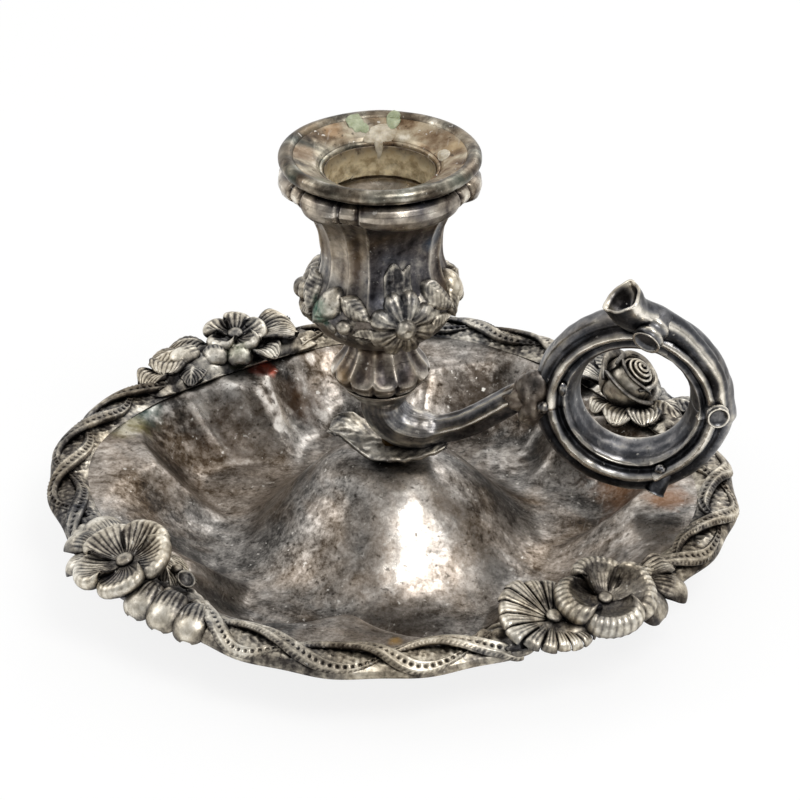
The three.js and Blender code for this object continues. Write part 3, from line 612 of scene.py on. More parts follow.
def vine_ribbon(side, middle_angle, seed, rub):
    angle = np.linspace(-BORDER_HALF_ANGLE, BORDER_HALF_ANGLE, 420)
    drift = ripple(grid_of(angle * VINE_MIDDLE, 0, 0), 9, seed)
    wave = VINE_WAVES * angle + 0.25 * drift
    sway = -side * VINE_SWAY * np.cos(wave) * (1 + 0.08 * drift)
    over = side * np.sin(wave)
    radius = VINE_MIDDLE - rim_dip(angle) + sway
    sunk = 1.8 * ease((np.abs(np.degrees(angle)) - 27) / 4)
    height = VINE_HEIGHT + 0.7 * over - 0.06 * sway**2 - 0.22 * sway - sunk
    way = angle + middle_angle
    outward = np.stack([np.cos(way), np.sin(way), np.zeros_like(way)], -1)
    path = cylindrical(radius, way, height)
    along = unit(np.gradient(path, axis=0))
    lean = np.where(sway > 0, 0.26, 0.12) * sway
    face = unit(np.array([0, 0, 1]) * np.cos(lean)[:, None] + outward * np.sin(lean)[:, None])
    across = unit(np.cross(along, face))
    face = np.cross(across, along)
    travel = travelled(path)[:, None]
    half = (RIBBON_HALF * (0.82 + 0.32 * np.clip(over, -1, 1) + 0.09 * drift))[:, None]
    u = crosswise(-1, 1, 25)
    width = u * half
    crown = RIBBON_THICK * 0.5 * np.sqrt(np.clip(1 - np.abs(u) ** 4, 0, 1))
    milled = 0.5 + 0.5 * np.cos(2 * np.pi * (travel + 0.7 * width) / 0.95 + drift[:, None])
    edge = ease((u - 0.5) / 0.25) * (1 - ease((u - 0.9) / 0.1))
    rail = bump_at(u, 0.42, 0.1) + bump_at(u, -0.72, 0.14)
    count = travel / DOT_PITCH + 0.2 * drift[:, None]
    dot_along = (count - np.round(count)) * DOT_PITCH
    dot = np.exp(-(((dot_along**2 + (width + 0.16 * half) ** 2) / DOT_RADIUS**2) ** 1.6))
    top = crown + 0.12 * rail - 0.25 * edge * (1 - milled) - 0.45 * dot
    relief = rub + 0.1 * rail - 0.26 * edge * (1 - milled) - 0.38 * dot - 0.16 * np.abs(u) ** 8
    # Painted shade: each ribbon darkens where it dives under the other.
    relief = relief - 0.13 * ease((-over - 0.2) / 0.6)[:, None] + 0.1 * drift[:, None]
    upper = path[:, None] + across[:, None] * width[..., None] + face[:, None] * top[..., None]
    low_u = np.array([0.9, 0.5, 0, -0.5, -0.9])
    low = np.array([-0.35, -0.5, -0.5, -0.5, -0.35]) * RIBBON_THICK
    lower = path[:, None] + across[:, None] * (low_u * half)[..., None] + face[:, None] * low[None, :, None]
    relief = np.concatenate([relief, np.full((len(angle), len(low_u)), 0.1)], axis=1)
    return skin(np.concatenate([upper, lower], axis=1), relief)


VINE_BED = [
    (-5.4, 14.4), (-4.6, 14.9), (-3.4, 15.4), (-1.5, 15.9), (0.5, 15.8), (2.2, 15.3), (3.4, 14.5),
    (3.9, 13.6), (3.7, 12.9), (3.2, 12.6), (2.7, 12.8), (2.5, 13.4), (2.45, 15.1), (0, 15.2),
]


def vine_bed(middle_angle, seed, rub, painted_foot_light):
    loop = np.array(VINE_BED + VINE_BED[:1])
    spread = np.linspace(0, len(VINE_BED), 65, endpoint=False)
    out = np.interp(spread, np.arange(len(loop)), loop[:, 0])[None, :]
    up = np.interp(spread, np.arange(len(loop)), loop[:, 1])[None, :]
    angle = lengthwise(-BED_HALF_ANGLE, BED_HALF_ANGLE, 330)
    slim = 1 - 0.7 * ease((np.abs(np.degrees(angle)) - 32) / 6)
    out, up = out * slim, BED_FOOT + (up - BED_FOOT) * slim
    bulge = 0.4 * np.cos(2 * VINE_WAVES * angle) * ease((out - 1.5) / 1.5)
    radius = VINE_MIDDLE - rim_dip(angle) + out + bulge
    way = angle + middle_angle
    grid = cylindrical(radius, way, up)
    on_top = ((spread > 1.2) & (spread < 5.2))[None, :]
    stipple = ripple(grid, 0.6, seed)
    streak = ripple(grid * np.array([1, 1, 0.2]), 1.6, seed + 1)
    grid[..., 2] += np.where(on_top, 0.12 * stipple, 0)
    # Painted shade darkens the bed below its top, and painted light pales its inner foot, where it meets the pan in
    # shadow.
    relief = rub - 0.08 + np.where(on_top, 0.13 * stipple, 0.05 * stipple + 0.12 * streak - 0.08)
    return skin(grid, relief + painted_foot_light * (1 - ease((spread - 0.9) / 1.6))[None, :])


# Each border has its angle, how pale its silver is, and how far painted light lifts the bed's foot out of its shadow.
BORDERS = {
    "handle": (0, 0.54, 0.14), "back": (90, 0.52, 0.14), "left": (180, 0.42, 0.24), "front": (270, 0.62, 0.14),
}
for side_name, (degrees, rub, painted_foot_light) in BORDERS.items():
    middle = math.radians(degrees)
    shells = [vine_bed(middle, degrees, rub, painted_foot_light)]
    shells += [vine_ribbon(1, middle, degrees + 7, rub), vine_ribbon(-1, middle, degrees + 8, rub)]
    piece(f"border_{side_name}", shells, ornament_silver, [f"vine_border_{side_name}"])

# %% [markdown]
# ## Petals and leaves
# The bouquets are castings chased with fine lines that hold the tarnish. A petal is a small sheet
# that narrows to its root, lifts, and curls over at its tip. A leaf has a midrib and slanting
# veins. A blossom's petals are broad, make a bowl together and roll over at the edge. No two lines
# run quite straight, because a chaser cuts them by hand.

# %% Petals, leaves and buttons
def cut_lines(phase):
    """A cut line for each turn of the phase: 1 in a line and 0 between two."""
    return (0.5 - 0.5 * np.cos(phase)) ** 2


def chased(u, v, lines, seed):
    """Cut lines that run along u and stray a little."""
    stray = ripple(grid_of(3 * u, 2 * v, 0), 1, seed, 8)
    return cut_lines(np.pi * lines * v + 0.8 * stray)


def petal(length, width, ribs=5, lift=2.0, curl=2.0, cup=0.8, rib_depth=0.25, thickness=0.8, root=0.35):
    u = lengthwise(0, 0.985, 24)
    v = crosswise(-1, 1, 8 * ribs + 1)
    swell = root + (1 - root) * np.sin(np.pi / 2 * np.clip(u / 0.62, 0, 1))
    outline = np.where(u < 0.62, swell, np.sqrt(np.clip(1 - ((u - 0.62) / 0.38) ** 2, 0, 1)))
    line = chased(u, v, ribs, int(100 * length))
    tip = np.clip((u - 0.6) / 0.4, 0, 1)
    z = lift * np.sin(np.pi / 2 * np.clip(u / 0.75, 0, 1)) - curl * tip**2 + cup * v**2 * np.sin(np.pi * u)
    z = z - rib_depth * line * np.sin(np.pi * u) ** 0.5
    # Painted shade: each petal darkens towards its root, where petals crowd together, and pales towards its tip.
    relief = 0.32 + 0.32 * ease((u - 0.1) / 0.5) - 0.34 * line * (1 - 0.4 * tip) + 0.15 * tip - 0.2 * v**8
    grid = grid_of(length * (u - 0.06 * u * v**2), width / 2 * outline * v, z)
    return sheet(grid, thickness, relief, 0.25)


def leaf(length, width, veins=6, arch=2.0, droop=1.5, vein_depth=0.25, thickness=0.8):
    u = lengthwise(0, 0.99, 44)
    v = crosswise(-1, 1, 25)
    scallop = 1 + 0.06 * np.cos(2 * np.pi * veins * u)
    outline = np.sin(np.pi * u**0.8) ** 0.75 * scallop + 0.06
    line = cut_lines(2 * np.pi * veins * (u - 0.3 * np.abs(v)))
    rib = bump_at(v, 0, 0.1)
    z = arch * np.sin(np.pi * u * 0.9) - droop * u**2 - 0.8 * (v**2) * outline
    z = z - vein_depth * line * (1 - rib) * np.sin(np.pi * u) + 0.35 * rib * (1 - u)
    relief = 0.52 - 0.4 * line * (1 - rib) + 0.25 * rib + 0.15 * np.abs(v) ** 4
    grid = grid_of(length * u, width / 2 * outline * v, z)
    return sheet(grid, thickness, relief, 0.2)


def button(radius, height, dimple=0.4):
    share = lengthwise(0.02, 1, 12)
    angle = full_turn(24)
    flat = radius * np.sin(np.pi / 2 * share)
    up = height * (np.cos(np.pi / 2 * share) - dimple * bump_at(share, 0, 0.4))
    grid = cylindrical(flat, angle, up)
    return skin(grid, 0.36 + 0.22 * bump_at(share, 0.4, 0.35) - 0.2 * ease((share - 0.7) / 0.3))


print("petal", len(petal(9, 8).points), "points, leaf", len(leaf(10, 6).points), "points")


# %% Blossoms
def blossom(
    petals, radius, bowl=2.0, lip=1.4, ribs=9, start=0, heart=2.0, rib_depth=0.2, overlap=0.6, notch=0.16,
    over_lip=0.3, inside=1.0, seed=1,
):
    """Broad petals about a button: each is a bowl that rolls over at its edge, with chased lines of
    one depth inside and another over the lip."""
    draw = np.random.default_rng(seed)
    u = lengthwise(0, 1, 36)
    v = crosswise(-1, 1, 8 * ribs + 1)
    rise = np.clip(u / 0.62, 0, 1)
    roll = np.clip((u - 0.62) / 0.38, 0, 1) * math.radians(170)
    on_lip = ease((u - 0.55) / 0.15)
    half = math.radians(180 / petals * 1.12)
    shells = placed([button(heart, 0.6 * heart, 0.3)], at=(0, 0, 0.2))
    for i in range(petals):
        line = chased(u, v, ribs, seed + i) * ease(rise / 0.3) * (inside + (over_lip - inside) * on_lip)
        brow = radius * draw.uniform(0.94, 1.05) * (1 - 0.4 * notch * v**2 - notch * v**6) - lip
        out = 0.8 * heart + (brow - 0.8 * heart) * rise + lip * np.sin(roll)
        up = bowl * rise**1.7 - lip * (1 - np.cos(roll)) + (overlap * v + draw.uniform(-0.3, 0.3)) * rise
        tone = (0.36 + 0.22 * inside * rise) * (1 - on_lip) + on_lip * (0.74 - 0.45 * ease((roll - 1.3) / 1.2))
        way = half * v + math.radians(start + 360 * i / petals) + draw.uniform(-0.06, 0.06)
        grid = cylindrical(out, way, up - rib_depth * line)
        shells.append(sheet(grid, 0.7, tone - 0.34 * line - 0.2 * v**8, 0.2))
    return shells


def fan_flower(bars, radius, heart=1.8, fold=1.6, seed=1):
    """Thick chased bars about a button, parted by dark gaps and folded down at their ends."""
    draw = np.random.default_rng(seed)
    u = lengthwise(0, 1, 32)
    v = crosswise(-1, 1, 25)
    run = np.clip(u / 0.6, 0, 1)
    bend = np.clip((u - 0.6) / 0.4, 0, 1) * math.radians(100) * (1 - 0.3 * v**4)
    half = math.pi / bars * 0.97
    shells = placed([button(heart, 0.6 * heart, 0.3)], at=(0, 0, 0.9))
    for i in range(bars):
        yaw = 2 * np.pi * i / bars
        reach = radius * (1 - 0.26 * max(math.cos(yaw), 0)) * draw.uniform(0.95, 1.05) - fold
        out = 0.8 * heart + (reach - 0.8 * heart) * run + fold * np.sin(bend)
        line = chased(u, v, 3, seed + i) * ease((run - 0.2) / 0.3) * (1 - 0.7 * ease(bend))
        up = 1.3 * np.sin(np.pi / 2 * run) - fold * (1 - np.cos(bend)) - 0.6 * v**4 * np.cos(bend / 2) - 0.12 * line
        tone = 0.4 + 0.3 * run + 0.1 * np.sin(2 * bend) - 0.18 * ease(bend - 0.5)
        tone = tone - 0.3 * line - 0.34 * v**6 * ease(run / 0.6)
        grid = cylindrical(out, yaw + half * v, up)
        shells.append(sheet(grid, 0.45, tone, 0.35))
    return shells


print("blossom", sum(len(s.points) for s in blossom(5, 10)), "points")


# %% Pods, buds and roses
def pod(length, width, height, hatch=7, rub=0.36):
    """A plump leaf like half a mussel shell, hatched towards its root and smooth at its lip."""
    u = lengthwise(0.01, 0.99, 34)
    v = crosswise(-1, 1, 33)
    outline = (1 - np.abs(2 * u - 1) ** 2.6) ** (1 / 2.6)
    root = 1 - ease((u - 0.4) / 0.25)
    line = chased(u, v, hatch, int(100 * width)) * root
    z = height * outline * np.sqrt(1 - 0.97 * v**2) - 0.3 * height * u**2 - 0.15 * line
    grid = grid_of(length * u, width / 2 * outline * v, z)
    relief = rub + 0.18 * root - 0.34 * line + 0.4 * (1 - root) * (1 - v**2)
    return sheet(grid, 0.7, relief, 0.1)


def bud(radius, depth):
    """A small oval cup with a rubbed rim and the seed standing in it."""
    outline = np.array([
        (0.3, 0.0, 0.3), (0.75, 0.3, 0.4), (1.0, 0.8, 0.5), (1.02, 1.0, 0.6), (0.88, 1.0, 0.5), (0.74, 0.82, 0.26),
        (0.52, 1.0, 0.36), (0.3, 1.14, 0.46), (0.02, 1.18, 0.5),
    ])
    at = np.linspace(0, len(outline) - 1, 40)
    out, up, relief = (np.interp(at, np.arange(len(outline)), side)[:, None] for side in outline.T)
    angle = full_turn(40)
    grid = grid_of(1.2 * radius * out * np.cos(angle), radius * out * np.sin(angle), depth * up)
    return skin(grid, relief)


# Each of the rose's petals has its size, the angle its lip opens to, its lip, its place and its spread.
ROSE_PETALS = [
    (1.0, 50, 0.4, 200, 80), (1.03, 54, 0.4, 330, 78), (1.06, 50, 0.45, 80, 80), (1.24, 84, 0.8, 235, 75),
    (1.26, 88, 0.8, 120, 60), (1.24, 86, 0.8, 350, 66),
]


def rose(radius):
    """A bud on its side: a ribbon wound in a spiral, held by broad smooth petals with rolled lips."""
    turn = lengthwise(0, 1, 260)
    v = crosswise(0, 1, 9)
    way = turn * 3.6 * 2 * np.pi
    out = radius * (0.08 + 0.62 * turn) + 0.35 * v
    up = radius * (1.02 - 0.42 * turn**2) - 2.6 * (1 - v)
    wound = cylindrical(out, way, up)
    shells = [sheet(wound, 0.55, 0.42 + 0.3 * v**2, 0.5)]
    u = lengthwise(0, 1, 30)
    side = crosswise(-1, 1, 33)
    for size, opening, lip, place, spread in ROSE_PETALS:
        polar = np.radians(165 - (165 - opening - 14 * side**4) * np.clip(u / 0.86, 0, 1))
        roll = np.clip((u - 0.86) / 0.14, 0, 1) * 2.2
        out = radius * size * np.sin(polar) + lip * (1 - np.cos(roll)) + 0.25 * side
        up = radius * 0.95 * size * np.cos(polar) + lip * np.sin(roll)
        way = math.radians(place) + math.radians(spread) * side
        # Painted light: the outer petals are kept pale, and paler still across each one's middle, as a painted
        # highlight on its round back.
        relief = 0.66 + 0.2 * np.sin(np.pi * u) * (1 - side**2) + 0.12 * bump_at(u, 0.95, 0.07) - 0.15 * side**8
        grid = cylindrical(out, way, up)
        shells.append(sheet(grid[:, ::-1], 0.55, relief[:, ::-1], 0.4))
    return shells


BOUQUET_RADIUS, BOUQUET_SEAT = 66.65, 15.3


def moss(half_out, half_along, height, seed):
    """The lumpy ground of a bouquet, bent round the rim and lapping over the pan's edge."""
    along = lengthwise(-1, 1, 70)
    turn = full_turn(48)
    size = np.sqrt(np.clip(1 - along**2, 0.004, 1)) ** 0.6
    out = half_out * size * np.cos(turn)
    below = np.where(np.cos(turn) > 0.55, 2.4, 1.8) * size * np.sin(turn)
    thin = np.abs(np.sin(turn)) ** np.where(np.cos(turn) < 0, 2.6, 1.0)
    up = np.where(np.sin(turn) > 0, height * size * thin, below)
    angle = along * half_along / BOUQUET_RADIUS
    radius = BOUQUET_RADIUS + out
    grid = grid_of(radius * np.cos(angle) - BOUQUET_RADIUS, radius * np.sin(angle), up)
    lumps = ripple(grid, 1.4, seed)
    grid[..., 2] += 0.4 * lumps * (np.sin(turn) > 0.1)
    # Painted light: the moss's inner side, towards the pan, is paler against its contact shadow.
    return skin(grid, 0.35 + 0.16 * lumps + 0.22 * ease((-np.cos(turn) - 0.4) / 0.4))


print("rose", sum(len(s.points) for s in rose(5.6)), "points")

# %% [markdown]
# ## The bouquets
# One bouquet lies on each corner of the rim: a pansy at the front left, a fan flower and a cup
# flower at the front right, a rose behind the ring and a small blossom at the back left. Each is
# laid out flat as a florist would, with places given as out from the rim's corner, along the rim
# and up, and then set on its corner.

# %% Bouquets
def sprigs(make, places):
    """Leaves or petals, each given as out, along, up, yaw and pitch, then its sizes."""
    shells = []
    for out, along, up, yaw, pitch, *sizes in places:
        shells += placed([make(*sizes)], at=(out, along, up), yaw=yaw, pitch=pitch)
    return shells


def pansy_bouquet():
    shells = [moss(6.6, 24, 2.0, 11)]
    pansy = blossom(5, 11.4, bowl=2.4, lip=1.7, ribs=9, start=50, heart=2.0, overlap=0.8, notch=0.2, seed=2)
    shells += placed(pansy, at=(0.8, 0.0, 3.4), pitch=-20, roll=4)
    shells += sprigs(pod, [
        (-2.6, -10.0, 1.6, -98, 0, 9.6, 8.6, 3.0, 11), (1.8, -9.0, 1.8, -76, -10, 8.4, 8.4, 3.4, 11),
        (4.2, -6.6, 0.6, -46, -20, 6.6, 7.0, 2.8, 9), (-4.2, 21.0, 1.2, 34, -22, 9.0, 8.0, 3.2, 7),
        (-2.8, 15.0, 1.6, 24, -24, 9.4, 8.6, 3.4, 7), (-1.2, 9.6, 1.8, 12, -26, 9.0, 8.4, 3.4, 7),
    ])
    shells += sprigs(leaf, [(-10.5, -4.5, -0.6, 76, 4, 19.0, 5.4, 11), (-8.2, -1.0, 0.6, 68, 4, 15.0, 4.6, 9)])
    shells += placed([bud(1.9, 2.0)], at=(-5.6, 12.2, 1.4), yaw=60, pitch=-16, roll=-20)
    shells += placed([button(1.3, 1.3, 0.1)], at=(-6.6, 8.2, 2.6))
    return shells


def fan_bouquet():
    shells = [moss(6.6, 24, 2.0, 12)]
    shells += placed(fan_flower(17, 11.6, seed=5), at=(0.2, -7.8, 1.6), pitch=-16, roll=-6)
    cup = blossom(
        4, 10.4, bowl=3.4, lip=2.6, ribs=11, start=70, heart=1.6, rib_depth=0.26, overlap=1.0, notch=0.2,
        over_lip=0.8, inside=0.15, seed=4,
    )
    shells += placed(cup, at=(2.2, 4.0, 3.2), pitch=-18, roll=4)
    shells += sprigs(pod, [
        (0.4, 17.0, 1.0, 52, -18, 8.6, 8.6, 3.0, 9, 0.22), (1.4, 11.5, 1.2, 24, -26, 8.6, 9.6, 3.2, 9, 0.2),
    ])
    shells += sprigs(leaf, [(-4.4, 11.5, 0.8, 74, 4, 12.0, 6.4, 8), (-7.0, 6.0, 0.2, 96, 2, 11.0, 5.4, 8)])
    shells += sprigs(petal, [(-3.0, 17.0, 0.9, 76, 2, 8.5, 7.0, 6)])
    return shells


def rose_bouquet():
    shells = [moss(6.6, 23, 1.8, 13)]
    shells += placed(rose(5.4), at=(-3.0, -3.4, 4.9), pitch=-22, roll=30)
    shells += sprigs(petal, [
        (-6.0, -6.6, 0.6, 212, -4, 9.0, 7.5, 7), (-4.0, -9.0, 0.8, 236, -2, 8.5, 7.5, 7),
        (-7.2, -2.0, 0.0, 190, -6, 6.0, 5.0, 5), (-3.0, 5.5, 0.8, 130, 4, 8.5, 6.5, 7),
    ])
    shells += sprigs(leaf, [
        (-1.0, -9.0, 1.0, -82, 4, 9.0, 6.6, 6), (2.2, -10.0, 0.8, -66, 2, 10, 6.5, 7),
        (1.0, 6.0, 1.0, 70, 8, 11, 6.4, 8), (-3.2, 9.5, 0.8, 100, 4, 10, 5.6, 7),
        (4.0, 3.5, 0.6, 25, -4, 8, 5.5, 6),
    ])
    return shells


def blossom_bouquet():
    shells = [moss(6.6, 24, 2.6, 14)]
    small = blossom(5, 7.6, bowl=1.8, lip=1.5, ribs=5, start=30, heart=1.9, overlap=0.7, notch=0.25, seed=9)
    shells += placed(small, at=(2.6, -5.2, 3.6), pitch=6, roll=-6)
    shells += sprigs(petal, [
        (1.0, -9.0, 2.4, -128, 6, 11.0, 9.0, 8), (3.0, -11.0, 2.2, -95, 6, 9.5, 7.5, 7),
        (-2.8, -7.0, 1.4, 190, 2, 7.5, 7.0, 6), (3.2, 12.0, 1.6, 134, 4, 8.5, 8.0, 7),
        (0.4, 16.0, 1.0, 112, 0, 8.0, 7.0, 7),
    ])
    shells += sprigs(pod, [
        (1.6, 1.2, 1.8, 150, 0, 6.6, 6.4, 2.8, 7), (-1.4, -3.4, 1.6, 150, 0, 6.6, 6.4, 2.8, 7),
        (2.4, 5.6, 2.2, 100, 4, 8.0, 6.0, 2.8, 5),
    ])
    shells += sprigs(leaf, [
        (4.0, 6.5, 1.8, 88, 4, 11, 6.4, 8), (-1.5, 9.0, 1.2, 142, 2, 8.0, 6.5, 8), (5.0, 1.0, 1.6, 60, 4, 9, 6.0, 7),
    ])
    return shells


BOUQUETS = [
    ("bouquet_back_handle", 45, rose_bouquet), ("bouquet_back_left", 135, blossom_bouquet),
    ("bouquet_front_left", 225, pansy_bouquet), ("bouquet_front_handle", 315, fan_bouquet),
]
for node, degrees, arrange in BOUQUETS:
    corner = math.radians(degrees)
    seat = (BOUQUET_RADIUS * math.cos(corner), BOUQUET_RADIUS * math.sin(corner), BOUQUET_SEAT)
    piece(f"{node}_casting", placed(arrange(), at=seat, yaw=degrees), ornament_silver, [node])

# %% [markdown]
# ## The branch and the finger ring
# The handle is cast as a branch with hollow flutes between sharp ridges. A round pipe with a normal
# map would not give the bright edges, so a section with ridges is swept along each curve. The ring
# is four lengths of branch with a sloping inner wall for the finger. They lap over each other at
# the knuckles, and the cut ends of twigs are hollow.

# %% Branch helpers
def curve_through(points, steps):
    """A smooth curve through points, by cubic pieces."""
    points = np.asarray(points, float)
    ends = np.vstack([2 * points[0] - points[1], points, 2 * points[-1] - points[-2]])
    share = np.linspace(0, len(points) - 1, steps)
    first = np.minimum(share.astype(int), len(points) - 2)
    f = (share - first)[:, None]
    a, b, c, d = ends[first], ends[first + 1], ends[first + 2], ends[first + 3]
    return 0.5 * (2 * b + (c - a) * f + (2 * a - 5 * b + 4 * c - d) * f**2 + (3 * b - a - 3 * c + d) * f**3)


def rounded(points, steps):
    """A smooth closed section through points of two offsets and a tone, as offsets and relief."""
    loop = curve_through(list(points) + [points[0]], steps + 1)[:-1]
    return loop[:, :2], loop[:, 2]


def ridged(ridges, rise, high, low, steps):
    """A section of radius 1 with narrow ridges at tone high and broad hollows at tone low."""
    angle = np.linspace(0, 2 * np.pi, steps, endpoint=False)
    crest = np.abs(np.cos(ridges * angle / 2)) ** 7
    out = 1 - rise + rise * crest
    return np.stack([out * np.cos(angle), out * np.sin(angle)], -1), low + (high - low) * crest


# A hollow cut: how far back each loop is, as a share of the depth, and its size.
MOUTH_BACK = np.array([0.0, 0.0, 0.3, 0.8, 1.0, 1.0])
MOUTH_SIZE = np.array([0.94, 0.86, 0.78, 0.66, 0.4, 0.02])


def limb(path, size, section, side, mouth=0.0, bright=None, rough=0.0, seed=5):
    """A section swept along a path. Its first offset is along side, and its second is across that.
    A mouth is the depth of a hollow cut at the far end."""
    offsets, tone = section
    path = np.asarray(path, float)
    size = np.asarray(size, float)
    relief = np.zeros(len(path)) if bright is None else np.asarray(bright, float)
    along = unit(np.gradient(path, axis=0))
    if mouth:
        path = np.vstack([path, path[-1] - along[-1] * (mouth * MOUTH_BACK)[:, None]])
        size = np.concatenate([size, size[-1] * MOUTH_SIZE])
        along = np.vstack([along, np.repeat(along[-1:], len(MOUTH_BACK), axis=0)])
        # Painted shade: the floor of a hollow cut is darker the deeper the cut.
        floor = -min(0.08 * mouth, 0.25)
        relief = np.concatenate([relief[:-2], [0.3, 0.42, 0.45, 0.36, floor + 0.1, floor, floor, floor]])
    side = unit(np.broadcast_to(side, path.shape) - along * np.sum(along * side, -1, keepdims=True))
    over = np.cross(along, side)
    reach = size[:, None, None] * offsets
    grid = path[:, None] + side[:, None] * reach[..., :1] + over[:, None] * reach[..., 1:]
    wobble = 0.6 * ripple(grid, 1.2, seed) + 0.8 * ripple(grid, 3.5, seed + 1)
    grid = grid + rough * unit(grid - path[:, None]) * wobble[..., None]
    return skin(grid, tone + relief[:, None] + 0.08 * wobble)


ROUND = ridged(6, 0.0, 0.4, 0.4, 48)


def twig(start, end, radius, mouth=0.9, bands=(0.45, 0.78)):
    """A stub of twig with rounded bands and a hollow, bright-edged cut."""
    start, end = np.asarray(start, float), np.asarray(end, float)
    share = np.linspace(0, 1, 40)
    path = start + share[:, None] * (end - start)
    swell = sum(bump_at(share, band, 0.08) for band in bands) if bands else 0 * share
    size = radius * (0.92 + 0.14 * swell + 0.12 * ease((share - 0.9) / 0.1))
    return limb(path, size, ROUND, (0.3, 0.2, 0.9), mouth, bright=0.4 * swell - 0.05, rough=0.04)


print("a limb has", len(ROUND[0]), "points round")

# %% Handle branch, leaf and solder
BRANCH_LINE = [
    (-1.8, 0, 36.6), (-1.7, 0, 33.4), (0.4, 0, 30.0), (4.4, 0, 28.0), (8.8, 0, 27.8), (12.6, 0, 28.8), (16.2, 0, 30.2),
    (20.0, 0, 32.5), (23.2, 0, 34.7), (26.4, 0, 37.0), (31.0, 0, 39.6),
]
# Round the arm from its upper front edge: offset to the front, offset downward and tone.
ARM_SECTION = [
    (1.2, -2.95, 0.74), (1.4, -2.2, 0.38), (2.1, -1.5, 0.38), (3.0, -0.8, 0.86), (2.5, 0.0, 0.42),
    (2.0, 1.2, 0.36), (1.4, 2.7, 0.5), (-1.2, 2.8, 0.2), (-1.8, 1.8, 0.15), (-3.0, 0.8, 0.5),
    (-1.6, -1.0, 0.15), (-1.2, -2.9, 0.55), (0.0, -2.7, 0.35),
]
ARM_STEPS, ARM_SIDES = 130, 104
share = np.linspace(0, 1, ARM_STEPS)
arm = rounded(ARM_SECTION, ARM_SIDES)
around = [math.atan2(down, front) for front, down, _ in ARM_SECTION]
sheath = rounded([(math.cos(angle), math.sin(angle), 0.5) for angle in around], ARM_SIDES)
sheath_size = np.interp(share, [0, 0.05, 0.25, 0.4, 0.5], [5.6, 4.9, 4.7, 4.0, 3.3])
change = ease((share - 0.36) / 0.14)[:, None]
offsets = (1 - change[..., None]) * sheath_size[:, None, None] * sheath[0] + change[..., None] * arm[0]
worn = ease((share - 0.44) / 0.05)[:, None]
lines = 0.05 * np.cos(26 * full_turn(ARM_SIDES))
tone = (1 - worn) * (sheath[1] + lines + 0.08 * bump_at(share, 0.36, 0.1)[:, None]) + worn * arm[1]
line = curve_through(BRANCH_LINE, ARM_STEPS)
branch = limb(line, np.ones(ARM_STEPS), (offsets, tone), (0, -1, 0), rough=0.06)
piece("branch_arm", [branch], handle_silver, ["handle_branch"])


BRACT_START, BRACT_LENGTH, BRACT_HALF, BRACT_HEIGHT, BRACT_VEINS = 12.4, 26.0, 6.0, 24.4, 8


def bract():
    """A leaf that cups the elbow from below, with a beaded edge and its tip curled away."""
    u = lengthwise(0, 0.985, 110)
    v = crosswise(-1, 1, 45)
    outline = np.sin(np.pi * (0.04 + 0.96 * u) ** 0.8) ** 0.4
    ruffle = np.cos(2 * np.pi * 7 * u + 1.2)
    half = BRACT_HALF * outline * (1 + 0.02 * ruffle * np.abs(v) ** 3)
    x = BRACT_START - BRACT_LENGTH * u
    z = BRACT_HEIGHT + 2.0 * (1 - ease(u / 0.4)) + 3.6 * ease((u - 0.5) / 0.45) - 0.6 * ease((u - 0.88) / 0.12)
    fold = (0.3 * ease((u - 0.6) / 0.4) - 0.22) * half * v**2
    bead = bump_at(np.abs(v), 0.92, 0.1) * (0.6 + 0.4 * ruffle)
    line = cut_lines(2 * np.pi * BRACT_VEINS * (u - 0.3 * np.abs(v))) * (1 - bump_at(v, 0, 0.15))
    tilt = 0.22 * half * v * ease((u - 0.4) / 0.3)
    grid = grid_of(x, half * v, z + fold + tilt + 0.3 * bead - 0.1 * line)
    speck = ripple(grid, 0.8, 16)
    grid[..., 2] += 0.1 * ripple(grid, 2.2, 15) + 0.05 * speck
    # Painted light: a pale strip down the leaf's middle, where its face would mirror the dim front of the room and
    # lies shut in under the elbow.
    painted_light_strip = bump_at(u, 0.58, 0.14) * ease((0.85 - np.abs(v)) / 0.2)
    relief = 0.46 - 0.08 * line + 0.16 * bead + 0.06 * speck + 0.24 * painted_light_strip
    return sheet(grid[:, ::-1], 1.0, relief[:, ::-1], 0.5)


def lump(half, at, seed, roughness):
    """A rough blob of metal with three half-lengths."""
    polar = np.pi * lengthwise(0.02, 0.98, 36)
    angle = full_turn(48)
    ball = cylindrical(np.sin(polar), angle, np.cos(polar))
    swell = 1 + roughness * ripple(ball * 4, 1.8, seed) + 0.3 * roughness * ripple(ball * 4, 0.6, seed + 1)
    relief = 0.5 + 0.2 * ripple(ball * 4, 1.2, seed + 2)
    return skin(ball * swell[..., None] * np.asarray(half) + np.asarray(at), relief)


leaf_seat = lump((4.6, 4.6, 1.3), (0, 0, 22.1), 20, 0.03)
piece("elbow_leaf", [bract(), leaf_seat], ornament_silver, ["bract_leaf"])
solder = [
    lump((3.7, 4.5, 6.4), (30.6, -0.6, 38.9), 21, 0.1), lump((4.2, 3.4, 3.2), (28.6, -0.4, 37.9), 24, 0.1),
]
piece("solder_lump", solder, solder_metal, ["solder_joint"])

# %% Finger ring
RING_CENTRE = np.array([52.0, 0, 39.6])
RING_RADIUS = 16.7
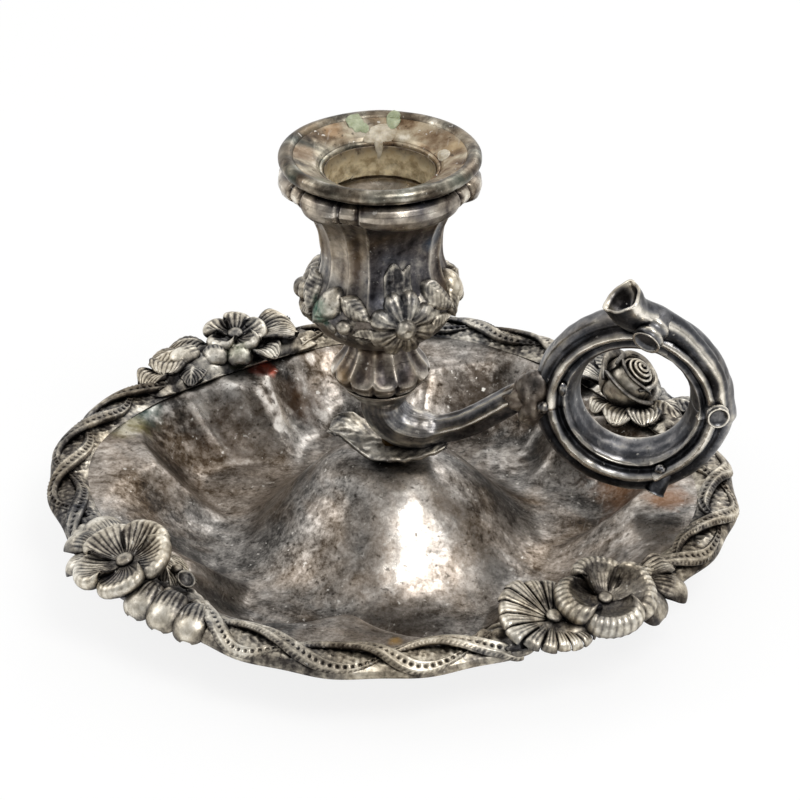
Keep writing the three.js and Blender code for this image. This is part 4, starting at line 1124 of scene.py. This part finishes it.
# Round the section from the inner front edge: offset to the front, offset outward and tone.
RING_SECTION = [
    (3.9, -2.6, 0.66), (3.4, -1.4, 0.14), (4.6, -0.7, 0.46), (5.2, 0.2, 0.84), (4.7, 1.1, 0.46),
    (3.3, 1.8, 0.14), (3.3, 3.0, 0.28), (2.6, 4.2, 0.55), (0.4, 4.75, 0.32), (-1.8, 4.6, 0.3),
    (-3.8, 3.6, 0.4), (-4.6, 1.4, 0.2), (-4.8, -1.2, 0.2), (-4.7, -3.6, 0.3), (-4.0, -4.8, 0.64),
    (-1.4, -4.3, 0.4), (1.4, -3.6, 0.4),
]
RING_STEPS, RING_SIDES, FLARE = 110, 136, 0.1
# Each length runs from one angle to another, may flare at its end, and has its size.
RING_LENGTHS = [(80, -8, 1, 0.96), (-5, -73, 1, 0.96), (-70, -174, 0, 0.96), (62, 187, 1, 0.93)]


def on_ring(degrees, radius=RING_RADIUS, y=0.0):
    angle = np.radians(np.asarray(degrees, float))
    around = np.stack([np.cos(angle), 0 * angle, np.sin(angle)], -1)
    return RING_CENTRE + around * np.asarray(radius)[..., None] + np.array([0, y, 0])


ring_shells = []
share = np.linspace(0, 1, RING_STEPS)
bow = RING_RADIUS + 0.4 * (np.abs(2 * share - 1) ** 2 - 0.4)
for number, (first, last, flared, size) in enumerate(RING_LENGTHS):
    way = 1 if last > first else -1
    size = size + flared * (FLARE * bump_at(share, 0.99, 0.06) - 0.14 * ease((share - 0.985) / 0.015))
    section = rounded([(front, way * out, tone) for front, out, tone in RING_SECTION], RING_SIDES)
    gleam = 0.16 * flared * bump_at(share, 0.96, 0.03)
    path = on_ring(first + (last - first) * share, bow)
    ring_shells.append(limb(path, size, section, (0, -1, 0), bright=gleam, rough=0.07, seed=60 + number))
STUB_LINE = [
    on_ring(4, 18.2, -2.4), on_ring(26, 18.8, -2.4), (62.6, -2.2, 56.2), (57.2, -2.8, 59.6),
    (52.0, -4.6, 62.4), (49.4, -6.2, 66.6),
]
stub_size = np.interp(share, [0, 0.4, 0.66, 0.84, 1], [2.4, 2.9, 4.0, 4.5, 4.8])
stub_section = ridged(3, 0.16, 0.9, 0.24, 96)
stub_line = curve_through(STUB_LINE, RING_STEPS)
stub = limb(stub_line, stub_size, stub_section, (0.4, -1, 0.5), mouth=3.2, rough=0.06)
# One band lines the whole ring, where the finger goes, over the ends of the lengths.
LINING = [
    (3.6, -2.5, 0.6), (2.6, -3.45, 0.36), (1.2, -4.1, 0.28), (0.0, -4.45, 0.42), (-1.4, -4.8, 0.28),
    (-2.8, -5.1, 0.38), (-3.9, -5.15, 0.66), (-4.2, -4.6, 0.3), (-2.0, -3.6, 0.2), (2.0, -2.4, 0.2),
]
circle = on_ring(np.linspace(0, 360, 181))
ring_shells += [
    limb(circle, np.full(len(circle), 0.97), rounded(LINING, 80), (0, -1, 0), rough=0.05, seed=70),
    stub,
    twig((57.4, -2.8, 61.2), (54.8, -9.2, 58.0), 3.0),
    twig(on_ring(3, 17.0, -2.0), on_ring(2, 18.5, -6.8), 2.3, mouth=0.7, bands=(0.72,)),
    twig(on_ring(-64, 17.4, -1.5), on_ring(-75, 21.4, -3.4), 2.2, mouth=0.25, bands=()),
    lump((1.2, 1.0, 1.0), on_ring(-65, 15.6, -4.5), 41, 0.04),
    lump((1.4, 1.3, 1.4), on_ring(-176, 18.6, -4.6), 42, 0.04),
    lump((0.9, 0.9, 1.6), on_ring(168, 15.0, -4.0), 43, 0.04),
]
piece("finger_ring", ring_shells, handle_silver, ["ring_handle"])

# %% [markdown]
# ## The candle socket
# The socket is built up on one screw: a saucer, a fluted knop, a body with a fluted waist over a
# round belly, and a collar of swelling lobes between straps. All were stamped or turned, so each is
# a profile turned about the candle's axis, and then pressed: moved in or out, or up or down, round
# the turn. It is three-sided: three wide panels and three narrow ones, with a strap between each two.

# %% Turned pieces
SOCKET_AXIS = np.array([-2.2, 0, 0])
# In degrees: the middle of one wide panel, and half the width of a wide and of a narrow panel.
WIDE_MIDDLE, WIDE_HALF, NARROW_HALF = -60, 40, 20


def turned(profile, sides, press):
    """A closed profile of radius and height turned about the socket's axis, then pressed to shape."""
    profile = np.asarray(profile, float)
    angle = full_turn(sides)
    radius, height, relief = press(*np.broadcast_arrays(profile[:, :1], profile[:, 1:], angle))
    return skin(cylindrical(radius, angle, height) + SOCKET_AXIS, relief, round_rows=True)


def from_strap(angle):
    """Degrees from the middle of the nearest strap, less than 0 on its side towards a wide panel."""
    return np.abs((np.degrees(angle) - WIDE_MIDDLE + 60) % 120 - 60) - WIDE_HALF


def resampled(profile, steps):
    """A closed profile with its points spread evenly along it."""
    profile = np.asarray(profile, float)
    travel = travelled(profile)
    at = np.linspace(0, travel[-1], steps, endpoint=False)
    return np.stack([np.interp(at, travel, side) for side in profile.T], -1)


FLUTES = 12
SAUCER = [
    (2.3, 36.3), (6.0, 36.3), (6.9, 37.3), (8.2, 38.7), (8.4, 39.15), (7.6, 39.25), (6.2, 39.0), (2.3, 38.9),
    (2.3, 36.3),
]
KNOP_OUTSIDE = [
    (6.8, 39.3), (8.2, 39.5), (9.5, 40.5), (10.4, 41.6), (10.65, 42.6), (10.3, 43.5), (9.4, 44.7), (8.5, 45.9),
    (7.85, 46.9),
]
KNOP_INSIDE = [(7.85, 46.9), (2.3, 46.9), (2.3, 39.3), (6.8, 39.3)]


def saucer_press(radius, height, angle):
    out = np.clip((radius - 4.5) / 3, 0, 1)
    return radius, height, 0.34 + 0.12 * out + 0.35 * bump_at(radius, 8.1, 0.3)


def fluted(height, angle):
    """How deep the flutes are, with soft ridges between them, and plump lobes where they end below."""
    part = (angle * FLUTES / (2 * np.pi)) % 1
    ridge = np.abs(2 * part - 1)
    lobe = 1 - ease((height - 42.2) / 1.8)
    stray = ripple(grid_of(angle * 9, 0.3 * height, 0), 1.5, 55)
    dish = (1 - lobe) * 0.75 * np.cos(np.pi / 2 * ridge) ** 1.5 + lobe * 0.8 * ridge**4
    tone = (1 - lobe) * (0.22 + 0.42 * ridge**4) + lobe * (0.7 - 0.55 * ridge**3)
    return dish, tone + 0.12 * stray


def knop_press(radius, height, angle):
    band = np.clip((radius - 6.9) / 0.8, 0, 1)
    dish, tone = fluted(height, angle)
    return radius - band * dish, height, 0.3 * (1 - band) + band * tone


saucer = turned(resampled(SAUCER, 70), 144, saucer_press)
piece("saucer", [saucer], socket_silver, ["socket_saucer"])
knop_profile = np.vstack([curve_through(KNOP_OUTSIDE, 80), resampled(KNOP_INSIDE, 40)[1:]])
piece("knop", [turned(knop_profile, 360, knop_press)], socket_silver, ["socket_knop"])

# %% Socket body
BODY_OUTSIDE = [
    (8.1, 46.6), (7.5, 47.6), (7.15, 48.6), (7.2, 49.6), (7.9, 50.6), (9.6, 51.6), (12.2, 53.0),
    (14.4, 55.2), (15.8, 58.4), (16.0, 61.2), (15.3, 63.8), (14.0, 66.4), (13.2, 69.0), (13.0, 71.5),
    (13.2, 74.5), (13.8, 77.6), (14.9, 80.4), (16.4, 82.6), (17.6, 84.0),
]
BODY_INSIDE = [
    (17.6, 84.0), (13.0, 84.0), (13.0, 80.6), (11.4, 77.4), (11.4, 58.0), (0.01, 58.0), (0.01, 50.9),
    (2.3, 50.9), (2.3, 46.6), (8.1, 46.6),
]
BODY_STRAP, PANEL_FOOT, PANEL_FADE = 9.5, 61, 6


def panel_depth(height, past):
    """How far the panels and straps are pressed in, which fades out down the belly."""
    wide = 1.2 * (1 - ((past + WIDE_HALF) / 30.5) ** 2)
    narrow = 0.6 * (1 - ((past - NARROW_HALF) / 10.5) ** 2)
    hollow = np.maximum(np.where(past < 0, wide, narrow), 0)
    hollow = np.where(np.abs(past) < BODY_STRAP, 0.45 * (1 - (past / BODY_STRAP) ** 2), hollow)
    return hollow * ease((height - PANEL_FOOT) / PANEL_FADE) * (1 - 0.3 * ease((height - 81) / 3))


def body_press(radius, height, angle):
    past = from_strap(angle)
    outside = radius > np.where(height > 77, 13.05, np.where(height > 52, 11.6, 6.8))
    band = ease((height - PANEL_FOOT) / PANEL_FADE) * outside
    wide, on_strap = past < 0, np.abs(past) < BODY_STRAP
    spot = grid_of(angle * 13, 0, height)
    ridge = bump_at(np.abs(past), BODY_STRAP, 0.9) * band * (1 + 0.4 * ripple(spot, 2.5, 52))
    streak = ripple(spot * np.array([1, 1, 0.06]), 0.9, 51)
    tone = np.where(on_strap, 0.38, np.where(wide, 0.22, 0.4))
    relief = 0.4 * (1 - band) + band * (tone + 0.1 * streak) + 0.42 * ridge * np.where(past > 0, 0.6, 1)
    neck = 1 - ease((height - 50.0) / 1.4)
    dish, neck_tone = fluted(height, angle)
    relief = relief * (1 - neck) + neck * neck_tone
    pressed = radius - outside * panel_depth(height, past) + 0.25 * ridge - neck * outside * dish
    return pressed, height, np.where(outside, relief, 0.6)


body_profile = np.vstack([curve_through(BODY_OUTSIDE, 150), resampled(BODY_INSIDE, 70)[1:]])
piece("socket_cup", [turned(body_profile, 432, body_press)], socket_silver, ["socket_body"])

# %% Socket collar
COLLAR = [
    (13.3, 84.3), (16.2, 84.3), (17.0, 84.3), (18.6, 84.6), (20.0, 85.5), (20.8, 86.8), (20.8, 87.8), (20.2, 88.8),
    (19.2, 89.5), (18.4, 89.8), (13.3, 89.8), (13.3, 84.3),
]
COLLAR_STRAP, COLLAR_FOOT = 6.5, 84.3


def collar_press(radius, height, angle):
    past = from_strap(angle)
    out = np.clip((radius - 16.5) / 3, 0, 1)
    groove = bump_at(np.abs(past), COLLAR_STRAP - 0.5, 1.3)
    strap = bump_at(past / COLLAR_STRAP, 0, 0.8)
    wide = (past + WIDE_HALF) / (WIDE_HALF - COLLAR_STRAP)
    narrow = (past - NARROW_HALF) / (NARROW_HALF - COLLAR_STRAP)
    span = np.where(past < 0, wide, narrow)
    belly = np.clip(1 - span**2, 0, 1) * (np.abs(past) > COLLAR_STRAP)
    low = 1 - ease((height - COLLAR_FOOT) / 3.5)
    spot = grid_of(angle * 18, 0, height)
    pressed = radius + out * (0.5 * belly * (0.5 + low) - 0.9 * groove - 0.5 * strap)
    pressed = pressed + 0.08 * out * ripple(spot, 2.5, 54)
    sunk = height - 1.1 * belly * low * out
    relief = 0.43 + 0.22 * out * belly * bump_at(height, 87.6, 1.4) + 0.2 * strap * out - 0.28 * groove * out
    relief = relief + 0.3 * out * bump_at(np.abs(past), COLLAR_STRAP + 1.2, 0.7) + 0.16 * ripple(spot, 1.6, 53)
    return pressed, sunk, relief


collar = turned(resampled(COLLAR, 120), 432, collar_press)
piece("collar", [collar], socket_silver, ["socket_collar"])

# %% [markdown]
# ## The garland
# Three sprays of flowers were cast in low relief and soldered round the belly, one under each wide
# panel, so the belly reads as one wreath. Single petals could be stacked up as on the rim, but
# these melt into the ground. So each spray is one skin over the belly, lifted by a height that is
# reckoned for each motif, and the highest motif wins. Between motifs the skin dips into the body.

# %% Motifs in low relief
def about(x, y, at, turn=0.0):
    """Places measured from a motif's root, turned by degrees, as along and across it."""
    angle = math.radians(turn)
    x, y = x - at[0], y - at[1]
    return x * math.cos(angle) + y * math.sin(angle), y * math.cos(angle) - x * math.sin(angle)


def low_leaf(x, y, at, turn, length, width, height, lines):
    """Height and tone of a leaf with slanting cuts on either side of its rib."""
    along, across = about(x, y, at, turn)
    u, v = along / length, across / (width / 2)
    outline = np.sin(np.pi * np.clip(u, 0, 1) ** 0.8) ** 0.7
    inside = np.clip(1 - (v / np.maximum(outline, 1e-3)) ** 2, 0, 1) * (np.abs(u - 0.5) < 0.5)
    line = cut_lines(2 * np.pi * lines * (u - 0.25 * np.abs(v)))
    rib = bump_at(v, 0, 0.12)
    lift = height * np.sqrt(inside) - 0.1 * line * inside + 0.15 * rib * inside - 0.5 * (inside <= 0)
    return lift, 0.5 - 0.16 * line + 0.14 * rib + 0.2 * bump_at(inside, 0.25, 0.2)


def low_boss(x, y, at, turn, length, width, height):
    """Height and tone of a smooth mound."""
    along, across = about(x, y, at, turn)
    inside = 1 - (2 * along / length) ** 2 - (2 * across / width) ** 2
    return height * np.sqrt(np.clip(inside, 0, 1)) - 0.5 * (inside <= 0), 0.46 + 0.2 * np.clip(inside, 0, 1)


def low_flower(x, y, at, petals, radius, height, ribs, heart):
    """Height and tone of an open flower about a cone."""
    along, across = about(x, y, at)
    out, way = np.hypot(along, across), np.arctan2(across, along)
    part = (way * petals / (2 * np.pi)) % 1
    middle = np.cos(np.pi * (part - 0.5))
    reach = out / (radius * (0.78 + 0.22 * middle**0.6))
    line = cut_lines(2 * np.pi * ribs * part)
    lift = height * np.clip(reach, 0, 1) ** 0.7 * np.sqrt(np.clip(1 - reach**5, 0, 1))
    lift = lift - 0.7 * (1 - middle) ** 2 - 0.12 * line * ease((reach - 0.2) / 0.2) - 0.5 * (reach >= 1)
    tone = 0.38 + 0.26 * ease(reach) - 0.18 * line - 0.3 * (1 - middle) ** 2
    cone = 1.4 * height * np.sqrt(np.clip(1 - (out / heart) ** 2, 0, 1))
    cone = cone - 0.6 * bump_at(out, 0, 0.5) - (out >= heart)
    tone = np.where(cone > lift, 0.4 + 0.3 * np.clip(1 - out / heart, 0, 1), tone)
    return np.maximum(lift, cone), tone


def low_tulip(x, y, at, length, width, height, ribs):
    """Height and tone of an upright leaf with ribs and a torn, bright top."""
    along, across = about(x, y, at, 90)
    u, v = along / length, across / (width / 2)
    top = 0.72 + 0.28 * np.abs(np.sin(2.2 * v + 0.9)) - 0.12 * v**2
    inside = np.clip(1 - v**4, 0, 1) * (u > 0) * (u < top)
    line = cut_lines(np.pi * ribs * v)
    torn = bump_at(u, top, 0.1)
    lift = height * (0.5 + 0.5 * ease(u / 0.6)) * inside**0.5 - 0.15 * line * inside - 0.5 * (inside <= 0)
    return lift, 0.34 - 0.1 * line + 0.34 * torn + 0.2 * bump_at(np.abs(v), 0.92, 0.08)


# %% Garland
BELLY, BELLY_RADIUS = BODY_OUTSIDE[5:15], 15.4
SPRAY_HALF, SPRAY_ROOT = math.radians(70), 0.9


def garland_spray():
    """Motifs are set in millimetres: x round the belly from the spray's middle, and y its height."""
    profile = curve_through(BELLY, 190)
    angle = crosswise(-SPRAY_HALF, SPRAY_HALF, 300)
    height = profile[:, 1:]
    radius = profile[:, :1] - panel_depth(height, from_strap(angle + math.radians(WIDE_MIDDLE)))
    x, y = np.broadcast_arrays(BELLY_RADIUS * angle, height)
    ground = grid_of(x, y, 0)
    cushion = 0.45 * np.clip(ripple(ground, 1.9, 61), -0.6, 1.2) * ease((y - 54) / 3) * ease((68 - y) / 3)
    cushion = cushion - 0.2 - 0.3 * ease((y - 65) / 2)
    motifs = [
        (cushion, 0.44 + 0.14 * ripple(ground, 1.2, 62)),
        low_tulip(x, y, (-0.9, 65.4), 7.6, 7.6, 0.6, 5),
        low_leaf(x, y, (5.6, 67.6), -52, 8.4, 5.4, 1.7, 8),
        low_leaf(x, y, (5.2, 58.4), 14, 5.4, 3.6, 1.1, 6),
        low_leaf(x, y, (-14.0, 65.4), -28, 7.4, 4.2, 1.5, 7),
        low_leaf(x, y, (-5.6, 58.0), 172, 5.4, 3.4, 0.9, 6),
        low_leaf(x, y, (12.0, 58.6), 62, 8.0, 4.6, 1.3, 7),
        low_boss(x, y, (15.6, 63.6), 70, 6.8, 5.6, 2.2),
        low_boss(x, y, (-12.9, 59.6), 0, 3.3, 3.3, 1.6),
        low_flower(x, y, (-0.6, 59.9), 8, 7.4, 2.0, 3, 2.2),
    ]
    lift = np.stack([motif[0] for motif in motifs])
    best = np.argmax(lift, axis=0)[None]
    lift = np.take_along_axis(lift, best, 0)[0]
    tone = np.take_along_axis(np.stack([motif[1] for motif in motifs]), best, 0)[0]
    lift = np.where(np.abs(angle) > SPRAY_HALF - 0.03, -0.4, lift) + 0.04 * ripple(ground, 0.8, 63)
    slope = np.gradient(profile, axis=0)
    outward = unit(np.stack([slope[:, 1], -slope[:, 0]], -1))
    top = cylindrical(radius + lift * outward[:, :1], angle, height + lift * outward[:, 1:])
    under = cylindrical(radius - SPRAY_ROOT, angle, height)
    return [two_faced(top, under, tone + 0.08 * ripple(ground, 0.9, 64), 0.2)]


for number, degrees in enumerate((60, 180, 300), 1):
    spray = placed(garland_spray(), at=SOCKET_AXIS, yaw=degrees)
    piece(f"garland_{number}", spray, ornament_silver, [f"garland_spray_{number}"])

# %% [markdown]
# ## The loose nozzle
# The nozzle lifts out to clear the wax: a thin sleeve, a dished flange and a round bead at its edge.
# They are turned like the socket, with a little wobble from handling, and ride on the nozzle body.

# %% Nozzle
FLANGE = [
    (12.4, 88.7), (13.05, 88.9), (13.2, 89.7), (14.0, 90.1), (16.2, 91.0), (18.0, 91.7), (18.0, 92.5),
    (16.4, 91.9), (14.4, 91.0), (13.2, 90.3), (12.6, 89.6), (12.4, 88.7),
]
SLEEVE = [
    (11.6, 81.5), (12.3, 81.5), (12.3, 88.6), (12.6, 89.55), (12.3, 89.7), (11.9, 89.4), (11.65, 88.6), (11.6, 81.5),
]
WIRE_MIDDLE, WIRE_HEIGHT, WIRE_RADIUS, WIRE_SQUASH = 19.4, 91.75, 1.65, 0.95


def on_wire(angle):
    """Places round the edge wire's section, as radius and height."""
    out, up = WIRE_RADIUS * np.cos(angle), WIRE_SQUASH * WIRE_RADIUS * np.sin(angle)
    return np.stack([WIRE_MIDDLE + out, WIRE_HEIGHT + up], -1)


def worn_press(radius, height, angle):
    spot = cylindrical(radius, angle, height)
    tone = 0.46 + 0.12 * ripple(spot, 3, 32) + 0.08 * ripple(spot, 1, 33)
    return radius + 0.05 * ripple(spot, 4, 31), height + 0.06 * ripple(spot, 5, 34), tone


wire = on_wire(full_turn(28)[0])
NOZZLE = {"flange": resampled(FLANGE, 90), "sleeve": resampled(SLEEVE, 90), "edge_wire": wire}
for part_name, profile in NOZZLE.items():
    spun = turned(profile, 288, worn_press)
    finish = rim_silver if part_name == "edge_wire" else nozzle_silver
    piece(f"spun_{part_name}", [spun], finish, [f"nozzle_{part_name}"], "nozzle")

# %% [markdown]
# ## Old wax
# Candle wax has run over the nozzle and dried there. Wax is a soft solid that light enters, so it
# gets some scattering below its skin. A fluid could be let run down, but these few runs are known.
# So a thin film lines the sleeve, and each drip is a thin sheet draped over the nozzle's face.

# %% Wax
def old_wax(name, colour, dark, size=1.0, soot=None):
    """Beeswax or tallow, yellowed: pale, soft and a little cloudy, with soot from one height to another."""
    material = bpy.data.materials.new(name)
    material.use_nodes = True
    tree = material.node_tree
    body = tree.nodes["Principled BSDF"]
    place = add_node(tree, "ShaderNodeTexCoord").outputs["Object"]
    cloud = add_noise(tree, place, size)
    shade = add_cover(tree, linear(dark), add_range(tree, cloud, -0.15, 0.15), linear(colour))
    if soot:
        height = add_node(tree, "ShaderNodeSeparateXYZ", {"Vector": place}).outputs["Z"]
        ragged = add_math(tree, "MULTIPLY_ADD", cloud, 8 * MM, height)
        smoke, low, high = soot
        shade = add_cover(tree, shade, add_range(tree, ragged, low * MM, high * MM), linear(smoke))
    lumps = add_node(tree, "ShaderNodeBump", {"Height": cloud, "Strength": 0.3, "Distance": 0.2 * MM}).outputs[0]
    tree.links.new(shade, body.inputs["Base Color"])
    tree.links.new(lumps, body.inputs["Normal"])
    body.inputs["Roughness"].default_value = 0.45
    body.inputs["IOR"].default_value = 1.44
    body.inputs["Subsurface Weight"].default_value = 0.2
    body.inputs["Subsurface Radius"].default_value = (0.002, 0.0016, 0.001)
    return material


green_wax = old_wax("candle_wax_green", "#b3b89b", "#8c9474")
pale_wax = old_wax("candle_wax_yellowed", "#cfc6b3", "#9a8c74")
# Painted light: the sleeve's wax film is made pale for the light that falls into the sleeve, with soot near its top.
sleeve_wax_painted_light = old_wax("candle_wax_browned", "#ead9b4", "#a08d6c", 0.9, soot=("#5a4d3f", 86.0, 89.2))
FILM_IN, FILM_OUT, FILM_LOW, FILM_HIGH = 11.5, 11.58, 82.0, 88.9
FILM = [(FILM_IN, FILM_LOW), (FILM_OUT, FILM_LOW), (FILM_OUT, FILM_HIGH), (FILM_IN, FILM_HIGH), (FILM_IN, FILM_LOW)]


def film_press(radius, height, angle):
    lumps = 0.06 * ripple(cylindrical(FILM_IN, angle, height), 1.5, 35)
    return radius + np.where(radius < (FILM_IN + FILM_OUT) / 2, lumps, 0), height, 0.5


piece("wax_film", [turned(resampled(FILM, 60), 192, film_press)], sleeve_wax_painted_light, body="nozzle")
# The upper face of the nozzle from its throat out over the edge wire, as radius and height.
NOZZLE_FACE = [
    (11.7, 84.0), (11.75, 88.6), (12.0, 89.5), (12.6, 89.7), (13.2, 90.3), (14.4, 91.0), (16.4, 91.9), (17.6, 92.3),
]
NOZZLE_TOP = np.vstack([NOZZLE_FACE, on_wire(np.radians(np.linspace(160, 10, 16)))])
NOZZLE_TRAVEL = travelled(NOZZLE_TOP)
FLANGE_MIDDLE = 17


def drip(degrees, start, stop, half, thick, seed):
    """Wax that lies on the nozzle between two distances along its upper face, about an angle."""
    u = lengthwise(-1, 1, 46)
    v = crosswise(-1, 1, 40)
    travel = (start + stop) / 2 + u * (stop - start) / 2
    radius, height = (np.interp(travel, NOZZLE_TRAVEL, side) for side in NOZZLE_TOP.T)
    slopes = [np.gradient(side, NOZZLE_TRAVEL) for side in NOZZLE_TOP.T]
    run, rise = (np.interp(travel, NOZZLE_TRAVEL, slope) for slope in slopes)
    facing = unit(np.stack([-rise, run], -1))
    stray = ripple(grid_of(3 * u, 3 * v, 0), 1.0, seed)
    inside = 1 - np.sqrt(u**2 + v**2) ** 2.4 + 0.16 * stray
    lift = np.clip(thick * np.sqrt(np.clip(inside, 0, 1)) - 0.3 * (inside < 0.02), -0.3, None)
    far, up = radius + lift * facing[..., 0], height + lift * facing[..., 1]
    way = math.radians(degrees) + half * v / FLANGE_MIDDLE
    return sheet(cylindrical(far, way, up) + SOCKET_AXIS, 0.3, 0.5)


# Each drip has its angle, its two ends along the face, half its width, its thickness and a seed.
GREEN_DRIPS = [(117, 8.4, 13.6, 1.9, 0.4, 81), (112, 8.0, 11.0, 1.2, 0.3, 82), (90, 8.8, 14.4, 1.5, 0.5, 83)]
PALE_CRUST = [
    (101, 1.6, 8.6, 1.4, 0.4, 85), (97, 5.6, 10.4, 3.6, 0.2, 86), (108, 5.2, 7.6, 2.2, 0.25, 87),
    (24, 6.0, 9.0, 2.8, 0.12, 89),
]
WAX = {"wax_green_drips": (green_wax, GREEN_DRIPS), "wax_pale_crust": (pale_wax, PALE_CRUST)}
for wax_name, (wax, drips) in WAX.items():
    piece(wax_name, [drip(*one) for one in drips], wax, body="nozzle")

# %% [markdown]
# ## The screws
# The stud, washer and nut under the dome, and the socket's stud, are plain turned brass. Their CAD
# shapes are right as they are, so they only take the brass finish.

# %% Screws
for node in ("pan_stud", "pan_washer", "pan_nut", "socket_stud"):
    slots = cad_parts[node].data.materials
    slots.clear()
    slots.append(turned_brass)
print("brass on the two studs, the washer and the nut")
